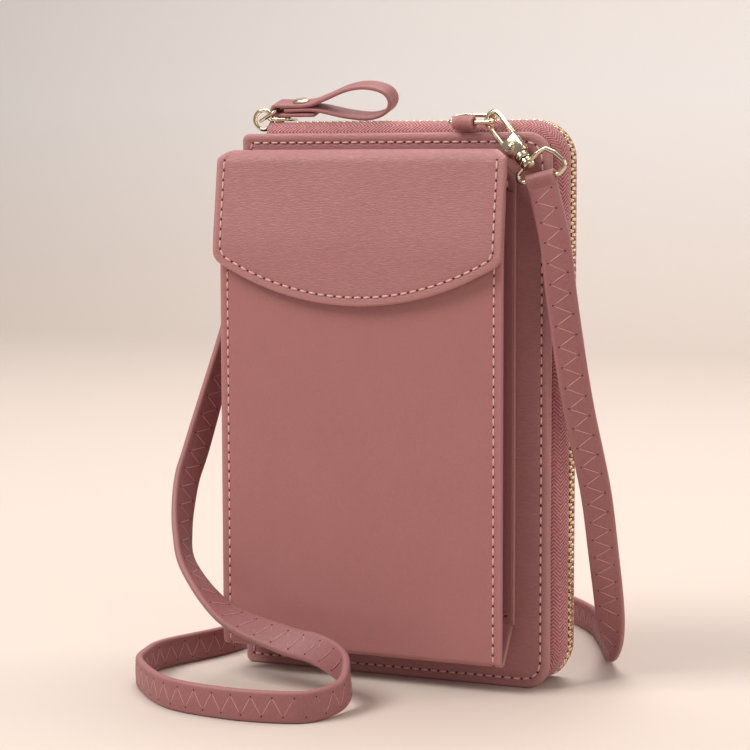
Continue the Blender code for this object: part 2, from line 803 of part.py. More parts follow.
def pull_leather():
    # The strip folds over the link's bar, and its free half loops round and tucks back between
    bar_x = link_seat.x + link_length_x
    bar_z = link_seat.z + link_length_z
    low = bar_z - pull_fold_radius
    high = bar_z + pull_fold_radius
    path = [Vector((bar_x + pull_lower_length, low)), Vector((bar_x, low))]
    path += arc(bar_x, bar_z, pull_fold_radius, 270, 90, 8)[1:]
    path.append(Vector((bar_x + pull_flat_share * pull_loop_length, high)))
    for across, rise in pull_loop_shares:
        path.append(Vector((bar_x + across * pull_loop_length, bar_z + pull_loop_rise * rise)))
    path.append(Vector((bar_x + pull_return_gap, bar_z)))
    strip = as_mesh(band(
        "pull_leather", path, pull_width, pull_leather_thickness, FRONT, (0, zip_y, 0), leather))
    hole = turned("pull_rivet_hole", [
        (0, high + overrun), (rivet_shank_radius + gap, high + overrun),
        (rivet_shank_radius + gap, low - overrun), (0, low - overrun)], gold)
    hole.location = (bar_x + rivet_place, zip_y, 0)
    combine(strip, carry(hole, pull_pivot), "DIFFERENCE")
    return strip


def pull_rivet():
    bar_z = link_seat.z + link_length_z
    top = bar_z + pull_fold_radius + pull_leather_thickness / 2 + gap
    low = bar_z - pull_fold_radius - pull_leather_thickness / 2 - gap
    rivet = turned("pull_rivet", [
        (0, top + rivet_head_thickness), (rivet_head_radius, top + rivet_head_thickness),
        (rivet_head_radius, top), (rivet_shank_radius, top), (rivet_shank_radius, low),
        (rivet_cap_radius, low), (rivet_cap_radius, low - rivet_cap_thickness),
        (0, low - rivet_cap_thickness)], gold)
    rivet.location = (link_seat.x + link_length_x + rivet_place, zip_y, 0)
    return rivet


def d_ring(name, bar, along, up):
    # A D-ring's wire: its bar lies along one direction and the ring stands up in the other
    corners = rounded([
        (-d_half_width, 0, d_corner), (d_half_width, 0, d_corner),
        (d_half_width, d_height, d_corner), (-d_half_width, d_height, d_corner),
    ])
    points = [Vector(bar) + Vector(along) * a + Vector(up) * b for a, b in corners]
    return wire(name, points, d_wire, True, gold)


def right_tab():
    # Its leg is let into the cover's inner face, and its top rolls round the D-ring's bar
    leg_y = cover_thickness - tab_leg_inset
    path = [Vector((leg_y, cover_height - tab_leg + gap)), Vector((leg_y, cover_height + gap))]
    path += arc(right_bar[1], right_bar[2], tab_roll_radius, 0, 270, 12)
    return band("right_tab", path, tab_width, tab_thickness, SIDE, (right_tab_place, 0, 0), leather)


def left_tab():
    path = [Vector((left_tab_x, left_tab_foot)), Vector((left_tab_x, left_tab_foot + left_tab_leg))]
    path += arc(left_bar[0], left_bar[2], tab_roll_radius, 0, 270, 12)
    return band("left_tab", path, tab_width, tab_thickness, FRONT, (0, zip_y, 0), leather)


def hook(name, pivot_empty):
    body = block(name, (-block_half_width, -block_half_depth, -block_height),
                 (block_half_width, block_half_depth, 0), gold)
    slot = block(name + "_slot", (-slot_left, -slot_half_depth, -slot_depth),
                 (slot_right, slot_half_depth, overrun), gold)
    bore = disc(name + "_bore", pin_bore, 2 * (block_half_depth + overrun), (pin_x, 0, -pin_drop), gold, 16)
    spindle = as_mesh(turned(name + "_spindle", [
        (0, -spindle_top), (neck_radius, -spindle_top), (neck_radius, -neck_end),
        (barrel_radius, -neck_end), (barrel_radius, -barrel_end), (post_radius, -barrel_end),
        (post_radius, -post_end), (0, -post_end)], gold))
    bend = arc(0, hook_rise, hook_half_width, 0, 180, 10)
    path = [(hook_root_x, 0, -hook_root_depth), (hook_half_width, 0, hook_root_depth)]
    path += [(point.x, 0, point.y) for point in bend]
    path.append((-hook_half_width, 0, hook_end))
    arm = as_mesh(wire(name + "_arm", path, hook_wire, False, gold))
    for tool, operation in ((slot, "DIFFERENCE"), (bore, "DIFFERENCE"), (arm, "UNION"), (spindle, "UNION")):
        combine(body, hang(tool, pivot_empty), operation)
    return hang(body, pivot_empty)


def gate(name, gate_empty):
    # Made in the clip's frame about its pin, so the empty sits on the pin
    path = [Vector((0, 0)), Vector((-hook_half_width - pin_x, pin_drop - gate_bend)),
            Vector((-hook_half_width - pin_x, pin_drop + gate_tip))]
    bar = as_mesh(band(name, path, gate_depth, gate_thickness, FRONT, (0, 0, 0), gold))
    boss = disc(name + "_boss", gate_eye_radius, gate_depth + gate_eye_proud, (0, 0, 0), gold, 20)
    bore = disc(name + "_bore", pin_bore, gate_depth + overrun, (0, 0, 0), gold, 16)
    combine(bar, hang(boss, gate_empty), "UNION")
    combine(bar, hang(bore, gate_empty), "DIFFERENCE")
    return hang(bar, gate_empty)


def gate_pin(name, pivot_empty):
    side = block_half_depth + gap
    pin = turned(name, [
        (0, side + pin_head_thickness), (pin_head_radius, side + pin_head_thickness),
        (pin_head_radius, side), (pin_radius, side), (pin_radius, -side), (pin_head_radius, -side),
        (pin_head_radius, -side - pin_head_thickness), (0, -side - pin_head_thickness)], steel)
    pin.rotation_euler = FRONT
    pin.location = (pin_x, 0, -pin_drop)
    return hang(pin, pivot_empty)


def swivel(name, clip_empty, eye_empty, eye_shares):
    # A collar on the hook's post, joined to the wire eye that the strap is folded round
    collar = as_mesh(turned(name, [
        (0, -collar_top), (collar_radius, -collar_top), (collar_radius, -collar_end),
        (0, -collar_end)], gold))
    points = [(a * eye_half_width, 0, b * eye_height) for a, b in eye_shares]
    eye = as_mesh(wire(name + "_eye", points, eye_wire, True, gold))
    bore = turned(name + "_bore", [
        (0, -collar_top + overrun), (collar_bore, -collar_top + overrun), (collar_bore, -collar_bore_end),
        (0, -collar_bore_end)], gold)
    combine(collar, hang(eye, eye_empty), "UNION")
    combine(collar, hang(bore, clip_empty), "DIFFERENCE")
    return hang(collar, clip_empty)


def strap_fold(name, eye_empty):
    side = [Vector((-fold_radius * y, -fold_length * z)) for z, y in fold_shares]
    over = arc(0, 0, fold_radius, 180, 0, 10)
    other = [Vector((-y, z)) for y, z in reversed(side)]
    piece = band(name, side + over + other, strap_width, fold_thickness, SIDE, (0, 0, 0), leather)
    return hang(piece, eye_empty)


def smooth(before, start, end, after, share):
    # A point between start and end on the smooth curve through the four
    cube = share ** 3
    square = share ** 2
    return (start * 2 + (end - before) * share + (before * 2 - start * 5 + end * 4 - after) * square
            + (start * 3 - before - end * 3 + after) * cube) / 2


def strap():
    places = [Vector(place) for place, across in strap_route]
    sides = [Vector(across) for place, across in strap_route]
    places = [places[0] * 2 - places[1]] + places + [places[-1] * 2 - places[-2]]
    sides = [sides[0]] + sides + [sides[-1]]
    stations = []
    for index in range(1, len(places) - 2):
        for step in range(strap_steps_per_span):
            share = step / strap_steps_per_span
            stations.append([smooth(*line[index - 1:index + 3], share) for line in (places, sides)])
    stations.append([places[-2], sides[-2]])
    bm = bmesh.new()
    rows = []
    for index, (place, across) in enumerate(stations):
        if index == 0:
            along = left_strap_down
        elif index == len(stations) - 1:
            along = -right_strap_down
        else:
            along = (stations[index + 1][0] - stations[index - 1][0]).normalized()
        across = (across - along * across.dot(along)).normalized()
        through = along.cross(across)
        corners = ((-1, -1), (1, -1), (1, 1), (-1, 1))
        rows.append([bm.verts.new(place + across * a * strap_width / 2 + through * b * strap_thickness / 2)
                     for a, b in corners])
    for row, following in zip(rows, rows[1:]):
        for k in range(4):
            bm.faces.new((row[k], row[(k + 1) % 4], following[(k + 1) % 4], following[k]))
    bm.faces.new(rows[0])
    bm.faces.new(rows[-1])
    return from_bmesh("strap", bm, leather)


def frame_of(across, up):
    # A turned frame: z along up, x as near to across as it can be
    z = up.normalized()
    x = (across - z * across.dot(z)).normalized()
    y = z.cross(x)
    return Matrix((x, y, z)).transposed()


# Places of the zip pull and of the D-rings
link_seat = Vector((slider_eye_x - ring_radius - link_seat_x, zip_y, slider_plate_z))
right_bar = Vector((right_tab_place + ring_shift, -tab_roll_front, cover_height + tab_roll_rise))
left_bar = Vector((left_tab_x - left_bar_out, zip_y, left_tab_foot + left_tab_leg + left_bar_rise))

# The bag stands centred over its origin, without the strap and its clips
left_reach = left_bar.x + left_ring_up.x * d_height - d_wire
right_reach = zip_x + teeth_thickness / 2
bag = pivot("bag", (0, 0, 0))
bag.location = (-(left_reach + right_reach) / 2, -(flap_outer_y + wallet_depth) / 2, 0)

# The joints' axes
cover_hinge = pivot("cover_hinge", (-cover_half, back_inner, 0), bag)
flap_lift = pivot("flap_lift", (pouch_offset, flap_hinge_y, flap_under), bag)
flap_fold = pivot("flap_fold", (pouch_offset, flap_edge_y - flap_crease_gap, flap_top_z), flap_lift)
slider_pivot = pivot("slider_travel", (slider_eye_x, zip_y, zip_z), bag)
ring_pivot = pivot("ring_swing", (slider_eye_x, zip_y, slider_plate_z), slider_pivot)
pull_pivot = pivot("pull_lift", link_seat, ring_pivot)
right_ring_pivot = pivot("right_ring_swing", right_bar, bag)
left_ring_pivot = pivot("left_ring_swing", left_bar, bag)


def front_cover():
    # The front board, with a recess in its inner face for the right tab's leg
    board = as_mesh(cover("front_cover", 0, cover_thickness))
    half = tab_width / 2 + gap
    recess = block(
        "tab_recess", (right_tab_place - half, cover_thickness - tab_recess_depth, cover_height - tab_leg),
        (right_tab_place + half, cover_thickness + overrun, cover_height + overrun), leather)
    combine(board, carry(recess, bag), "DIFFERENCE")
    return board


def spine():
    # The joint between the covers, bowed outwards a little
    low = cover_thickness + gap
    length = back_inner - gap - low
    path = []
    for step in range(steps_in_corner + 1):
        share = step / steps_in_corner
        bulge = 4 * spine_bulge * share * (1 - share)
        path.append(Vector((-cover_half + spine_inset - bulge, low + length * share)))
    return band("spine", path, cover_height, spine_thickness, PLAN, (0, 0, cover_height / 2), leather)


def pouch_back():
    # The sheet sewn to the cover, its upper corners cut back under the flap's root
    clip = pouch_back_clip
    outline = [
        (pouch_left, pouch_back_foot), (pouch_right, pouch_back_foot), (pouch_right, pouch_top - clip),
        (pouch_right - clip, pouch_top), (pouch_left + clip, pouch_top), (pouch_left, pouch_top - clip),
    ]
    return plate("pouch_back", outline, pouch_back_thickness, FRONT,
                 (0, -gap - pouch_back_thickness / 2, 0), leather)


def flap_root():
    # The strip that the flap is stitched to, along the top of the pouch's back
    back = -(gap + pouch_back_thickness + root_seat)
    top = flap_under - gap
    half = flap_width / 2 - flap_clip_across - root_end_clear
    return block("flap_root", (pouch_offset - half, back - root_thickness, top - root_height),
                 (pouch_offset + half, back, top), leather)


# Wallet
carry(front_cover(), bag)
carry(cover("back_cover", back_inner, wallet_depth), cover_hinge)
carry(spine(), bag)
carry(zip_tape("front_zip_tape", 1), bag)
carry(zip_tape("back_zip_tape", -1), cover_hinge)
carry(zip_teeth("front_zip_teeth", 1), bag)
carry(zip_teeth("back_zip_teeth", -1), cover_hinge)
carry(card_panel("front_card_panel", 1), bag)
carry(card_panel("back_card_panel", -1), cover_hinge)
carry(middle_pocket(), bag)

# Zip slider and its pull
carry(zip_slider(), slider_pivot)
carry(pull_ring(), ring_pivot)
carry(pull_link(), pull_pivot)
carry(pull_leather(), pull_pivot)
carry(pull_rivet(), pull_pivot)

# Pouch and flap
carry(pouch_back(), bag)
carry(pouch_front(), bag)
carry(pouch_gusset("pouch_gusset_right", 1), bag)
carry(pouch_gusset("pouch_gusset_left", -1), bag)
carry(flap_root(), bag)
carry(flap_top(), flap_lift)
carry(flap_front(), flap_fold)
snap_face = -(pouch_depth + gap)
snap_seat = flap_inner_y - snap_pocket_depth + gap
carry(disc("pouch_snap", snap_radius, snap_thickness,
           (pouch_offset, snap_face - snap_thickness / 2, snap_height), steel), bag)
carry(disc("flap_snap", snap_radius, snap_thickness,
           (pouch_offset, snap_seat + snap_thickness / 2, snap_height), steel), flap_fold)

# Tabs and D-rings
carry(right_tab(), bag)
carry(left_tab(), bag)
carry(d_ring("right_d_ring", right_bar, (1, 0, 0), right_ring_up), right_ring_pivot)
carry(d_ring("left_d_ring", left_bar, (0, 1, 0), left_ring_up), left_ring_pivot)

# The clips at the strap's two ends
right_crossing = right_bar + Vector((d_half_width, 0, 0)) + right_ring_up * d_height * d_side_share
left_crossing = left_bar + left_ring_up * d_height
clips = (
    ("right", right_crossing, right_hook_down, right_hook_side, right_hook_reach,
     right_strap_down, right_strap_side, right_eye_slew, right_eye_shares),
    ("left", left_crossing, left_hook_down, left_hook_side, left_hook_reach,
     left_strap_down, left_strap_side, 0, left_eye_shares),
)
for hand, crossing, down, across, reach, strap_down, strap_side, slew, eye_shares in clips:
    block_top = crossing + down * reach
    collar = block_top + down * collar_middle
    eye_base = collar + strap_side * slew + strap_down * eye_drop
    clip_empty = pivot(hand + "_clip", block_top, bag, frame_of(across, -down))
    hook_empty = pivot(hand + "_hook_swivel", block_top, bag, frame_of(across, -down))
    eye_empty = pivot(hand + "_eye", eye_base, bag, frame_of(strap_side, -strap_down))
    gate_empty = bpy.data.objects.new(hand + "_gate_pivot", None)
    gate_empty.empty_display_size = empty_size
    parts.objects.link(gate_empty)
    gate_empty.parent = hook_empty
    gate_empty.location = (pin_x, 0, -pin_drop)
    hook(hand + "_hook", hook_empty)
    gate(hand + "_gate", gate_empty)
    gate_pin(hand + "_gate_pin", hook_empty)
    swivel(hand + "_swivel", clip_empty, eye_empty, eye_shares)
    strap_fold(hand + "_strap_fold", eye_empty)
carry(strap(), bag)
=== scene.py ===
import math
from bisect import bisect_left

import bmesh
import bpy
import numpy as np
from mathutils import Matrix, Vector


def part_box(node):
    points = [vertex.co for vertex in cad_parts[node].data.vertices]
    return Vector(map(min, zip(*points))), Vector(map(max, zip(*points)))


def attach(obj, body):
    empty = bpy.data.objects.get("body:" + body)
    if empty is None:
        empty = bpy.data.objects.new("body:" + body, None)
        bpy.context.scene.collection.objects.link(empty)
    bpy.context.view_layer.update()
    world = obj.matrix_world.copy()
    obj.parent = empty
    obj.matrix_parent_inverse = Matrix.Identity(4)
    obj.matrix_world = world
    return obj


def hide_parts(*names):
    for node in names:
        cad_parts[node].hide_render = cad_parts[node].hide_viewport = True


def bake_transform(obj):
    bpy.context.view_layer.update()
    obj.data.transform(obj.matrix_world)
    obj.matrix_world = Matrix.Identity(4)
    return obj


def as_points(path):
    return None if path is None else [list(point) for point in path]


# A crossbody bag in dusty rose leather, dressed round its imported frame.
# Shapes are drawn in millimetres from the bag's own origin: x from the middle of the wallet,
# y from the front cover's face towards the back, z from the foot. toFrame() puts them in place.

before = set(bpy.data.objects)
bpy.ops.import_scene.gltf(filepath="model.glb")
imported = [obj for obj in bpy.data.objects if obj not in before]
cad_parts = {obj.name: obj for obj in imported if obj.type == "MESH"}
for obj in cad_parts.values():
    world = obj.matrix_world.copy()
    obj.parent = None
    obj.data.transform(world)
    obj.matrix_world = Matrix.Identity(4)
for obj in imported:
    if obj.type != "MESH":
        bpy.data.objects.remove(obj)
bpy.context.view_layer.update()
mm = 0.001
coverLow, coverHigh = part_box("front_cover")
bagOrigin = Vector(((coverLow.x + coverHigh.x) / 2, coverLow.y, 0))


def toFrame(point):
    return bagOrigin + Vector(point) * mm


def hexColour(code):
    channels = [int(code[i:i + 2], 16) / 255 for i in (0, 2, 4)]
    return (*[c / 12.92 if c <= 0.04045 else ((c + 0.055) / 1.055) ** 2.4 for c in channels], 1)


def connect(tree, node, links):
    # A source is a socket, or a node, which stands for its first live output
    for key, source in links.items():
        if isinstance(source, bpy.types.Node):
            source = next(output for output in source.outputs if output.enabled)
        tree.links.new(source, node.inputs[key])


def addNode(tree, kind, links=None, values=None, **settings):
    node = tree.nodes.new(kind)
    for key, value in settings.items():
        setattr(node, key, value)
    for key, value in (values or {}).items():
        node.inputs[key].default_value = value
    connect(tree, node, links or {})
    return node


def newMaterial(name, values):
    material = bpy.data.materials.new(name)
    material.use_nodes = True
    shader = material.node_tree.nodes["Principled BSDF"]
    for key, value in values.items():
        shader.inputs[key].default_value = value
    return material, material.node_tree, shader


def addObject(name, data):
    added = bpy.data.objects.new(name, data)
    bpy.context.scene.collection.objects.link(added)
    return added


# Camera, at the photograph's angle
cameraValues = {"place": (294.2, -701.1, 181.1), "target": (-6.7, 0, 106.1), "lens": 105.6, "roll": 0.14}


def makeCamera(values):
    data = bpy.data.cameras.new("camera")
    data.lens = values["lens"]
    data.clip_start = 0.01
    camera = addObject("camera", data)
    camera.location = toFrame(values["place"])
    aim = toFrame(values["target"]) - camera.location
    turn = aim.to_track_quat("-Z", "Y").to_matrix() @ Matrix.Rotation(math.radians(-values["roll"]), 3, "Z")
    camera.rotation_euler = turn.to_euler()
    bpy.context.scene.camera = camera


makeCamera(cameraValues)
print("camera set")


# Materials

leatherLooks = {
    "grained": {"base": "af7878", "deep": "935e60", "rim": "ba8786", "rough": 0.46,
                "grain": (2.6, 0.5, 0.8), "depth": 0.24, "mottleAndGrainShade": 0.2},
    "satin": {"base": "a97170", "deep": "925b5b", "rim": "b5807e", "rough": 0.4,
              "grain": (0.9, 0.6, 0.7), "depth": 0.05, "mottleAndGrainShade": 0.12},
    "strap": {"base": "a0696a", "deep": "835052", "rim": "b07d7b", "rough": 0.5,
              "grain": (0.7, 1.1, 0.7), "depth": 0.09, "mottleAndGrainShade": 0.2},
    # The gusset look is the leather made darker: painted shade for the side walls folded in between the
    # pouch's panels
    "gusset": {"base": "8e5859", "deep": "734145", "rim": "9d6969", "rough": 0.55,
               "grain": (0.8, 0.7, 0.7), "depth": 0.09, "mottleAndGrainShade": 0.2},
}


def leatherMaterial(name, look):
    # Polyurethane leather, embossed and calendered: a satin skin over a short grain, its turned edges painted
    # paler as a highlight, on the strap also its edge paint. Grain sizes and depth are in millimetres, along
    # the hide and across.
    material, tree, shader = newMaterial(name, {"IOR": 1.46})
    flat = addNode(tree, "ShaderNodeAttribute", attribute_name="flat").outputs["Vector"]
    rim = addNode(tree, "ShaderNodeAttribute", attribute_name="rim").outputs["Fac"]
    grainMap = addNode(tree, "ShaderNodeMapping", {"Vector": flat}, {
        "Scale": [1 / (size * mm) for size in look["grain"]]})
    wrinkle = addNode(tree, "ShaderNodeTexNoise", {"Vector": grainMap}, {
        "Scale": 1.0, "Detail": 3.0, "Roughness": 0.6, "Distortion": 0.7})
    pebble = addNode(tree, "ShaderNodeTexVoronoi", {"Vector": grainMap}, {
        "Scale": 1.7, "Smoothness": 0.6}, feature="SMOOTH_F1")
    relief = addNode(tree, "ShaderNodeMath", {0: pebble, 2: wrinkle}, {1: 0.5}, operation="MULTIPLY_ADD")
    broadMap = addNode(tree, "ShaderNodeMapping", {"Vector": flat}, {"Scale": (30, 45, 30)})
    broad = addNode(tree, "ShaderNodeTexNoise", {"Vector": broadMap}, {
        "Scale": 1.0, "Detail": 4.0, "Roughness": 0.55})
    # Painted shade: the grain's low places are coloured towards the deep colour, and broad random patches add
    # a real mottle on top
    shade = addNode(tree, "ShaderNodeMapRange", {"Value": relief}, {
        "From Min": 0.55, "From Max": 1.05, "To Min": look["mottleAndGrainShade"] * 2, "To Max": 0.0})
    patch = addNode(tree, "ShaderNodeMapRange", {"Value": broad}, {
        "From Min": 0.3, "From Max": 0.7, "To Min": 0.0, "To Max": look["mottleAndGrainShade"]})
    grainShadeAndMottle = addNode(tree, "ShaderNodeMath", {0: shade, 1: patch}, operation="ADD", use_clamp=True)
    tone = addNode(tree, "ShaderNodeMix", {0: grainShadeAndMottle}, {
        6: hexColour(look["base"]), 7: hexColour(look["deep"])}, data_type="RGBA")
    # Painted highlight: the rim mask lightens the leather towards its rim colour along the turned edges; on
    # the strap this is partly its edge paint
    edgeHighlightAndPaint = addNode(tree, "ShaderNodeMath", {0: rim}, {1: 0.55}, operation="MULTIPLY")
    colour = addNode(tree, "ShaderNodeMix", {0: edgeHighlightAndPaint, 6: tone}, {7: hexColour(look["rim"])}, data_type="RGBA")
    rough = addNode(tree, "ShaderNodeMapRange", {"Value": relief}, {
        "From Min": 0.5, "From Max": 1.1, "To Min": look["rough"] + 0.09, "To Max": look["rough"] - 0.05})
    bump = addNode(tree, "ShaderNodeBump", {"Height": relief}, {
        "Strength": 0.75, "Distance": look["depth"] * mm})
    connect(tree, shader, {"Base Color": colour, "Roughness": rough, "Normal": bump})
    return material


def threadMaterial(name, base, rough):
    # Polyester sewing thread, three-ply and waxed: a fine twist that catches the light
    material, tree, shader = newMaterial(name, {"Roughness": rough})
    coords = addNode(tree, "ShaderNodeTexCoord").outputs["Object"]
    ply = addNode(tree, "ShaderNodeTexNoise", {"Vector": coords}, {"Scale": 2400.0, "Detail": 2.0})
    tint = addNode(tree, "ShaderNodeMapRange", {"Value": ply}, {"To Min": 0.72, "To Max": 1.12})
    colour = addNode(tree, "ShaderNodeVectorMath", {"Scale": tint}, {0: hexColour(base)[:3]},
                     operation="SCALE")
    connect(tree, shader, {"Base Color": colour})
    return material


def twillMaterial():
    # Woven polyester zip tape in a herringbone twill: matt ribs that change slope every 2.2 mm
    material, tree, shader = newMaterial("herringbone_zip_tape", {"Roughness": 0.82, "Sheen Weight": 0.2})
    flat = addNode(tree, "ShaderNodeAttribute", attribute_name="flat").outputs["Vector"]
    parts = addNode(tree, "ShaderNodeSeparateXYZ", {"Vector": flat}).outputs
    zigzag = addNode(tree, "ShaderNodeMath", {0: parts["Y"]}, {1: 2.2 * mm}, operation="PINGPONG")
    slant = addNode(tree, "ShaderNodeMath", {0: zigzag, 2: parts["X"]}, {1: 1.1}, operation="MULTIPLY_ADD")
    turns = addNode(tree, "ShaderNodeMath", {0: slant}, {1: 2 * math.pi / (1.3 * mm)}, operation="MULTIPLY")
    rib = addNode(tree, "ShaderNodeMath", {0: turns}, operation="SINE")
    fuzz = addNode(tree, "ShaderNodeTexNoise", {"Vector": flat}, {"Scale": 1600.0, "Detail": 2.0})
    height = addNode(tree, "ShaderNodeMath", {0: rib, 2: fuzz}, {1: 0.35}, operation="MULTIPLY_ADD")
    # Painted highlight and shade: the ribs' crests are coloured light and their grooves dark, following the
    # bump's height
    ribLightAndShade = addNode(tree, "ShaderNodeMapRange", {"Value": height}, {"From Min": 0.1, "From Max": 0.9})
    colour = addNode(tree, "ShaderNodeMix", {0: ribLightAndShade}, {
        6: hexColour("8b4b50"), 7: hexColour("d08e90")}, data_type="RGBA")
    bump = addNode(tree, "ShaderNodeBump", {"Height": height}, {"Strength": 0.8, "Distance": 0.3 * mm})
    connect(tree, shader, {"Base Color": colour, "Normal": bump})
    return material


def metalMaterial(name, base, low, high, scratch):
    # Plated and tumble-polished zinc: bright, with faint hairlines and a slightly uneven gloss
    material, tree, shader = newMaterial(name, {"Base Color": hexColour(base), "Metallic": 1.0})
    coords = addNode(tree, "ShaderNodeTexCoord").outputs["Object"]
    cloud = addNode(tree, "ShaderNodeTexNoise", {"Vector": coords}, {"Scale": 420.0, "Detail": 3.0})
    gloss = addNode(tree, "ShaderNodeMapRange", {"Value": cloud}, {
        "From Min": 0.3, "From Max": 0.7, "To Min": low, "To Max": high})
    lineMap = addNode(tree, "ShaderNodeMapping", {"Vector": coords}, {"Scale": (900, 5000, 2600)})
    lines = addNode(tree, "ShaderNodeTexNoise", {"Vector": lineMap}, {"Scale": 1.0, "Detail": 2.0})
    bump = addNode(tree, "ShaderNodeBump", {"Height": lines}, {"Strength": scratch, "Distance": 0.01 * mm})
    connect(tree, shader, {"Roughness": gloss, "Normal": bump})
    return material


def liningMaterial():
    # Warp-knit polyester lining on card: a close plain rib, matt and a little darker than the leather
    material, tree, shader = newMaterial("knit_lining", {"Roughness": 0.88, "Sheen Weight": 0.15})
    flat = addNode(tree, "ShaderNodeAttribute", attribute_name="flat").outputs["Vector"]
    ribMap = addNode(tree, "ShaderNodeMapping", {"Vector": flat}, {
        "Scale": (1 / (0.9 * mm), 1 / (0.45 * mm), 1)})
    weave = addNode(tree, "ShaderNodeTexVoronoi", {"Vector": ribMap}, {"Scale": 1.0, "Randomness": 0.35})
    # Painted shade: the knit's cell edges, which the bump sets low, are coloured darker
    colour = addNode(tree, "ShaderNodeMix", {0: weave}, {
        6: hexColour("a06468"), 7: hexColour("7c474c")}, data_type="RGBA")
    bump = addNode(tree, "ShaderNodeBump", {"Height": weave}, {
        "Strength": 0.6, "Distance": 0.15 * mm}, invert=True)
    connect(tree, shader, {"Base Color": colour, "Normal": bump})
    return material


grainedLeather, satinLeather, strapLeather, gussetShadeLeather = [
    leatherMaterial(name + "_pu_leather", look) for name, look in leatherLooks.items()]
paleThread = threadMaterial("polyester_thread", "e2b3ae", 0.55)
strapThread = threadMaterial("strap_thread", "cf9c97", 0.55)
# Painted shade: each needle hole is a dark flat dot on the leather, standing for the shade inside the hole
needleHoleShade = threadMaterial("needle_hole", "5c1f22", 0.9)
zipTwill = twillMaterial()
champagneGold = metalMaterial("champagne_gold_plate", "dacbae", 0.12, 0.24, 0.25)
toothGold = metalMaterial("zip_tooth_brass", "e2cba2", 0.24, 0.38, 0.3)
magnetSteel = metalMaterial("nickelled_magnet_steel", "c9c6c0", 0.25, 0.4, 0.3)
knitLining = liningMaterial()
print("materials made")


# Mesh helpers, in millimetres

def newMesh(name, points, edges=(), faces=(), **vectors):
    # A mesh in metres, with a vector attribute for each named list
    mesh = bpy.data.meshes.new(name)
    mesh.from_pydata(points, edges, faces)
    for key, values in vectors.items():
        data = mesh.attributes.new(key, "FLOAT_VECTOR", "POINT").data
        data.foreach_set("vector", np.array(values, np.float32).ravel())
    return mesh


def faceOutwards(mesh, merge=None):
    bm = bmesh.new()
    bm.from_mesh(mesh)
    if merge:
        bmesh.ops.remove_doubles(bm, verts=bm.verts, dist=merge)
    bmesh.ops.recalc_face_normals(bm, faces=bm.faces)
    bm.to_mesh(mesh)
    bm.free()


def dress(piece, nodes, body):
    # body is the body that the piece rides on; a fold's two bodies, start and end, are not used, and the
    # piece stays where it is drawn
    if isinstance(body, str):
        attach(piece, body)
    else:
        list(body)
        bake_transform(piece)
    if nodes:
        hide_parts(*nodes)
    return piece


def makePiece(name, shape, material, nodes, body="wallet", sharp=50):
    # shape is (points, faces); leather and cloth add each point's place on the flat hide and
    # its share of the rim, where leather is painted paler as an edge highlight. nodes are the CAD nodes that
    # the piece stands for.
    points, faces, *laid = shape
    mesh = newMesh(name, [toFrame(p) for p in points], faces=faces)
    if laid:
        flats, rims = laid
        flat = mesh.attributes.new("flat", "FLOAT_VECTOR", "POINT").data
        flat.foreach_set("vector", (np.array(flats, np.float32) * mm).ravel())
        mesh.attributes.new("rim", "FLOAT", "POINT").data.foreach_set("value", np.array(rims, np.float32))
    mesh.materials.append(material)
    faceOutwards(mesh, 0.002 * mm)
    mesh.shade_smooth()
    mesh.set_sharp_from_angle(angle=math.radians(sharp))
    return dress(addObject(name, mesh), nodes, body)


def metalPiece(name, shape, body, node):
    makePiece(name, shape, champagneGold, [node], body, 40)


def arc(centre, radius, start, end, steps):
    # Flat points on an arc between two angles in degrees
    angles = [math.radians(start + (end - start) * step / steps) for step in range(steps + 1)]
    return [Vector((centre[0] + radius * math.cos(a), centre[1] + radius * math.sin(a))) for a in angles]


def circle(radius, count):
    return [(radius * math.cos(a), radius * math.sin(a)) for a in np.linspace(0, 2 * math.pi, count, False)]


def boxCorners(left, low, right, high):
    return [(left, low), (right, low), (right, high), (left, high)]


def leftOf(run):
    return Vector((-run.y, run.x)).normalized()


def runAt(points, index, closed=False):
    # The way a path runs at one of its points
    if closed:
        return points[(index + 1) % len(points)] - points[index - 1]
    return points[min(index + 1, len(points) - 1)] - points[max(index - 1, 0)]


def runLengths(points):
    # The distance along a path at each of its points
    lengths = [0]
    for p, q in zip(points, points[1:]):
        lengths.append(lengths[-1] + (q - p).length)
    return lengths


def locate(lengths, distance):
    # The stretch of a path that a distance falls in, and its share of that stretch
    k = min(max(bisect_left(lengths, distance) - 1, 0), len(lengths) - 2)
    return k, (distance - lengths[k]) / (lengths[k + 1] - lengths[k])


def filleted(corners, radius, closed, steps=6):
    # Points through corners of any dimension, each one rounded to a radius
    radii = radius if isinstance(radius, (list, tuple)) else [radius] * len(corners)
    points = []
    count = len(corners)
    for index, corner in enumerate(corners):
        here = Vector(corner)
        if not closed and index in (0, count - 1) or radii[index] == 0:
            points.append(here)
            continue
        back = Vector(corners[index - 1]) - here
        onward = Vector(corners[(index + 1) % count]) - here
        half = back.angle(onward) / 2
        reach = min(radii[index] / math.tan(half), back.length * 0.49, onward.length * 0.49)
        curve = reach * math.tan(half)
        back.normalize()
        onward.normalize()
        centre = here + (back + onward).normalized() * curve / math.sin(half)
        first = (here + back * reach - centre).normalized()
        final = (here + onward * reach - centre).normalized()
        points += [centre + first.slerp(final, step / steps).normalized() * curve
                   for step in range(steps + 1)]
    return points


def insetCorners(corners, radii, inset):
    # Moves an outline's straight sides inwards; the outline runs anticlockwise
    corners = [Vector(corner) for corner in corners]
    inner = []
    for index, here in enumerate(corners):
        left = leftOf(here - corners[index - 1])
        right = leftOf(corners[(index + 1) % len(corners)] - here)
        inner.append(here + (left + right) * inset / (1 + left.dot(right)))
    return inner, [max(radius - inset, 0.25) if radius else 0 for radius in radii]


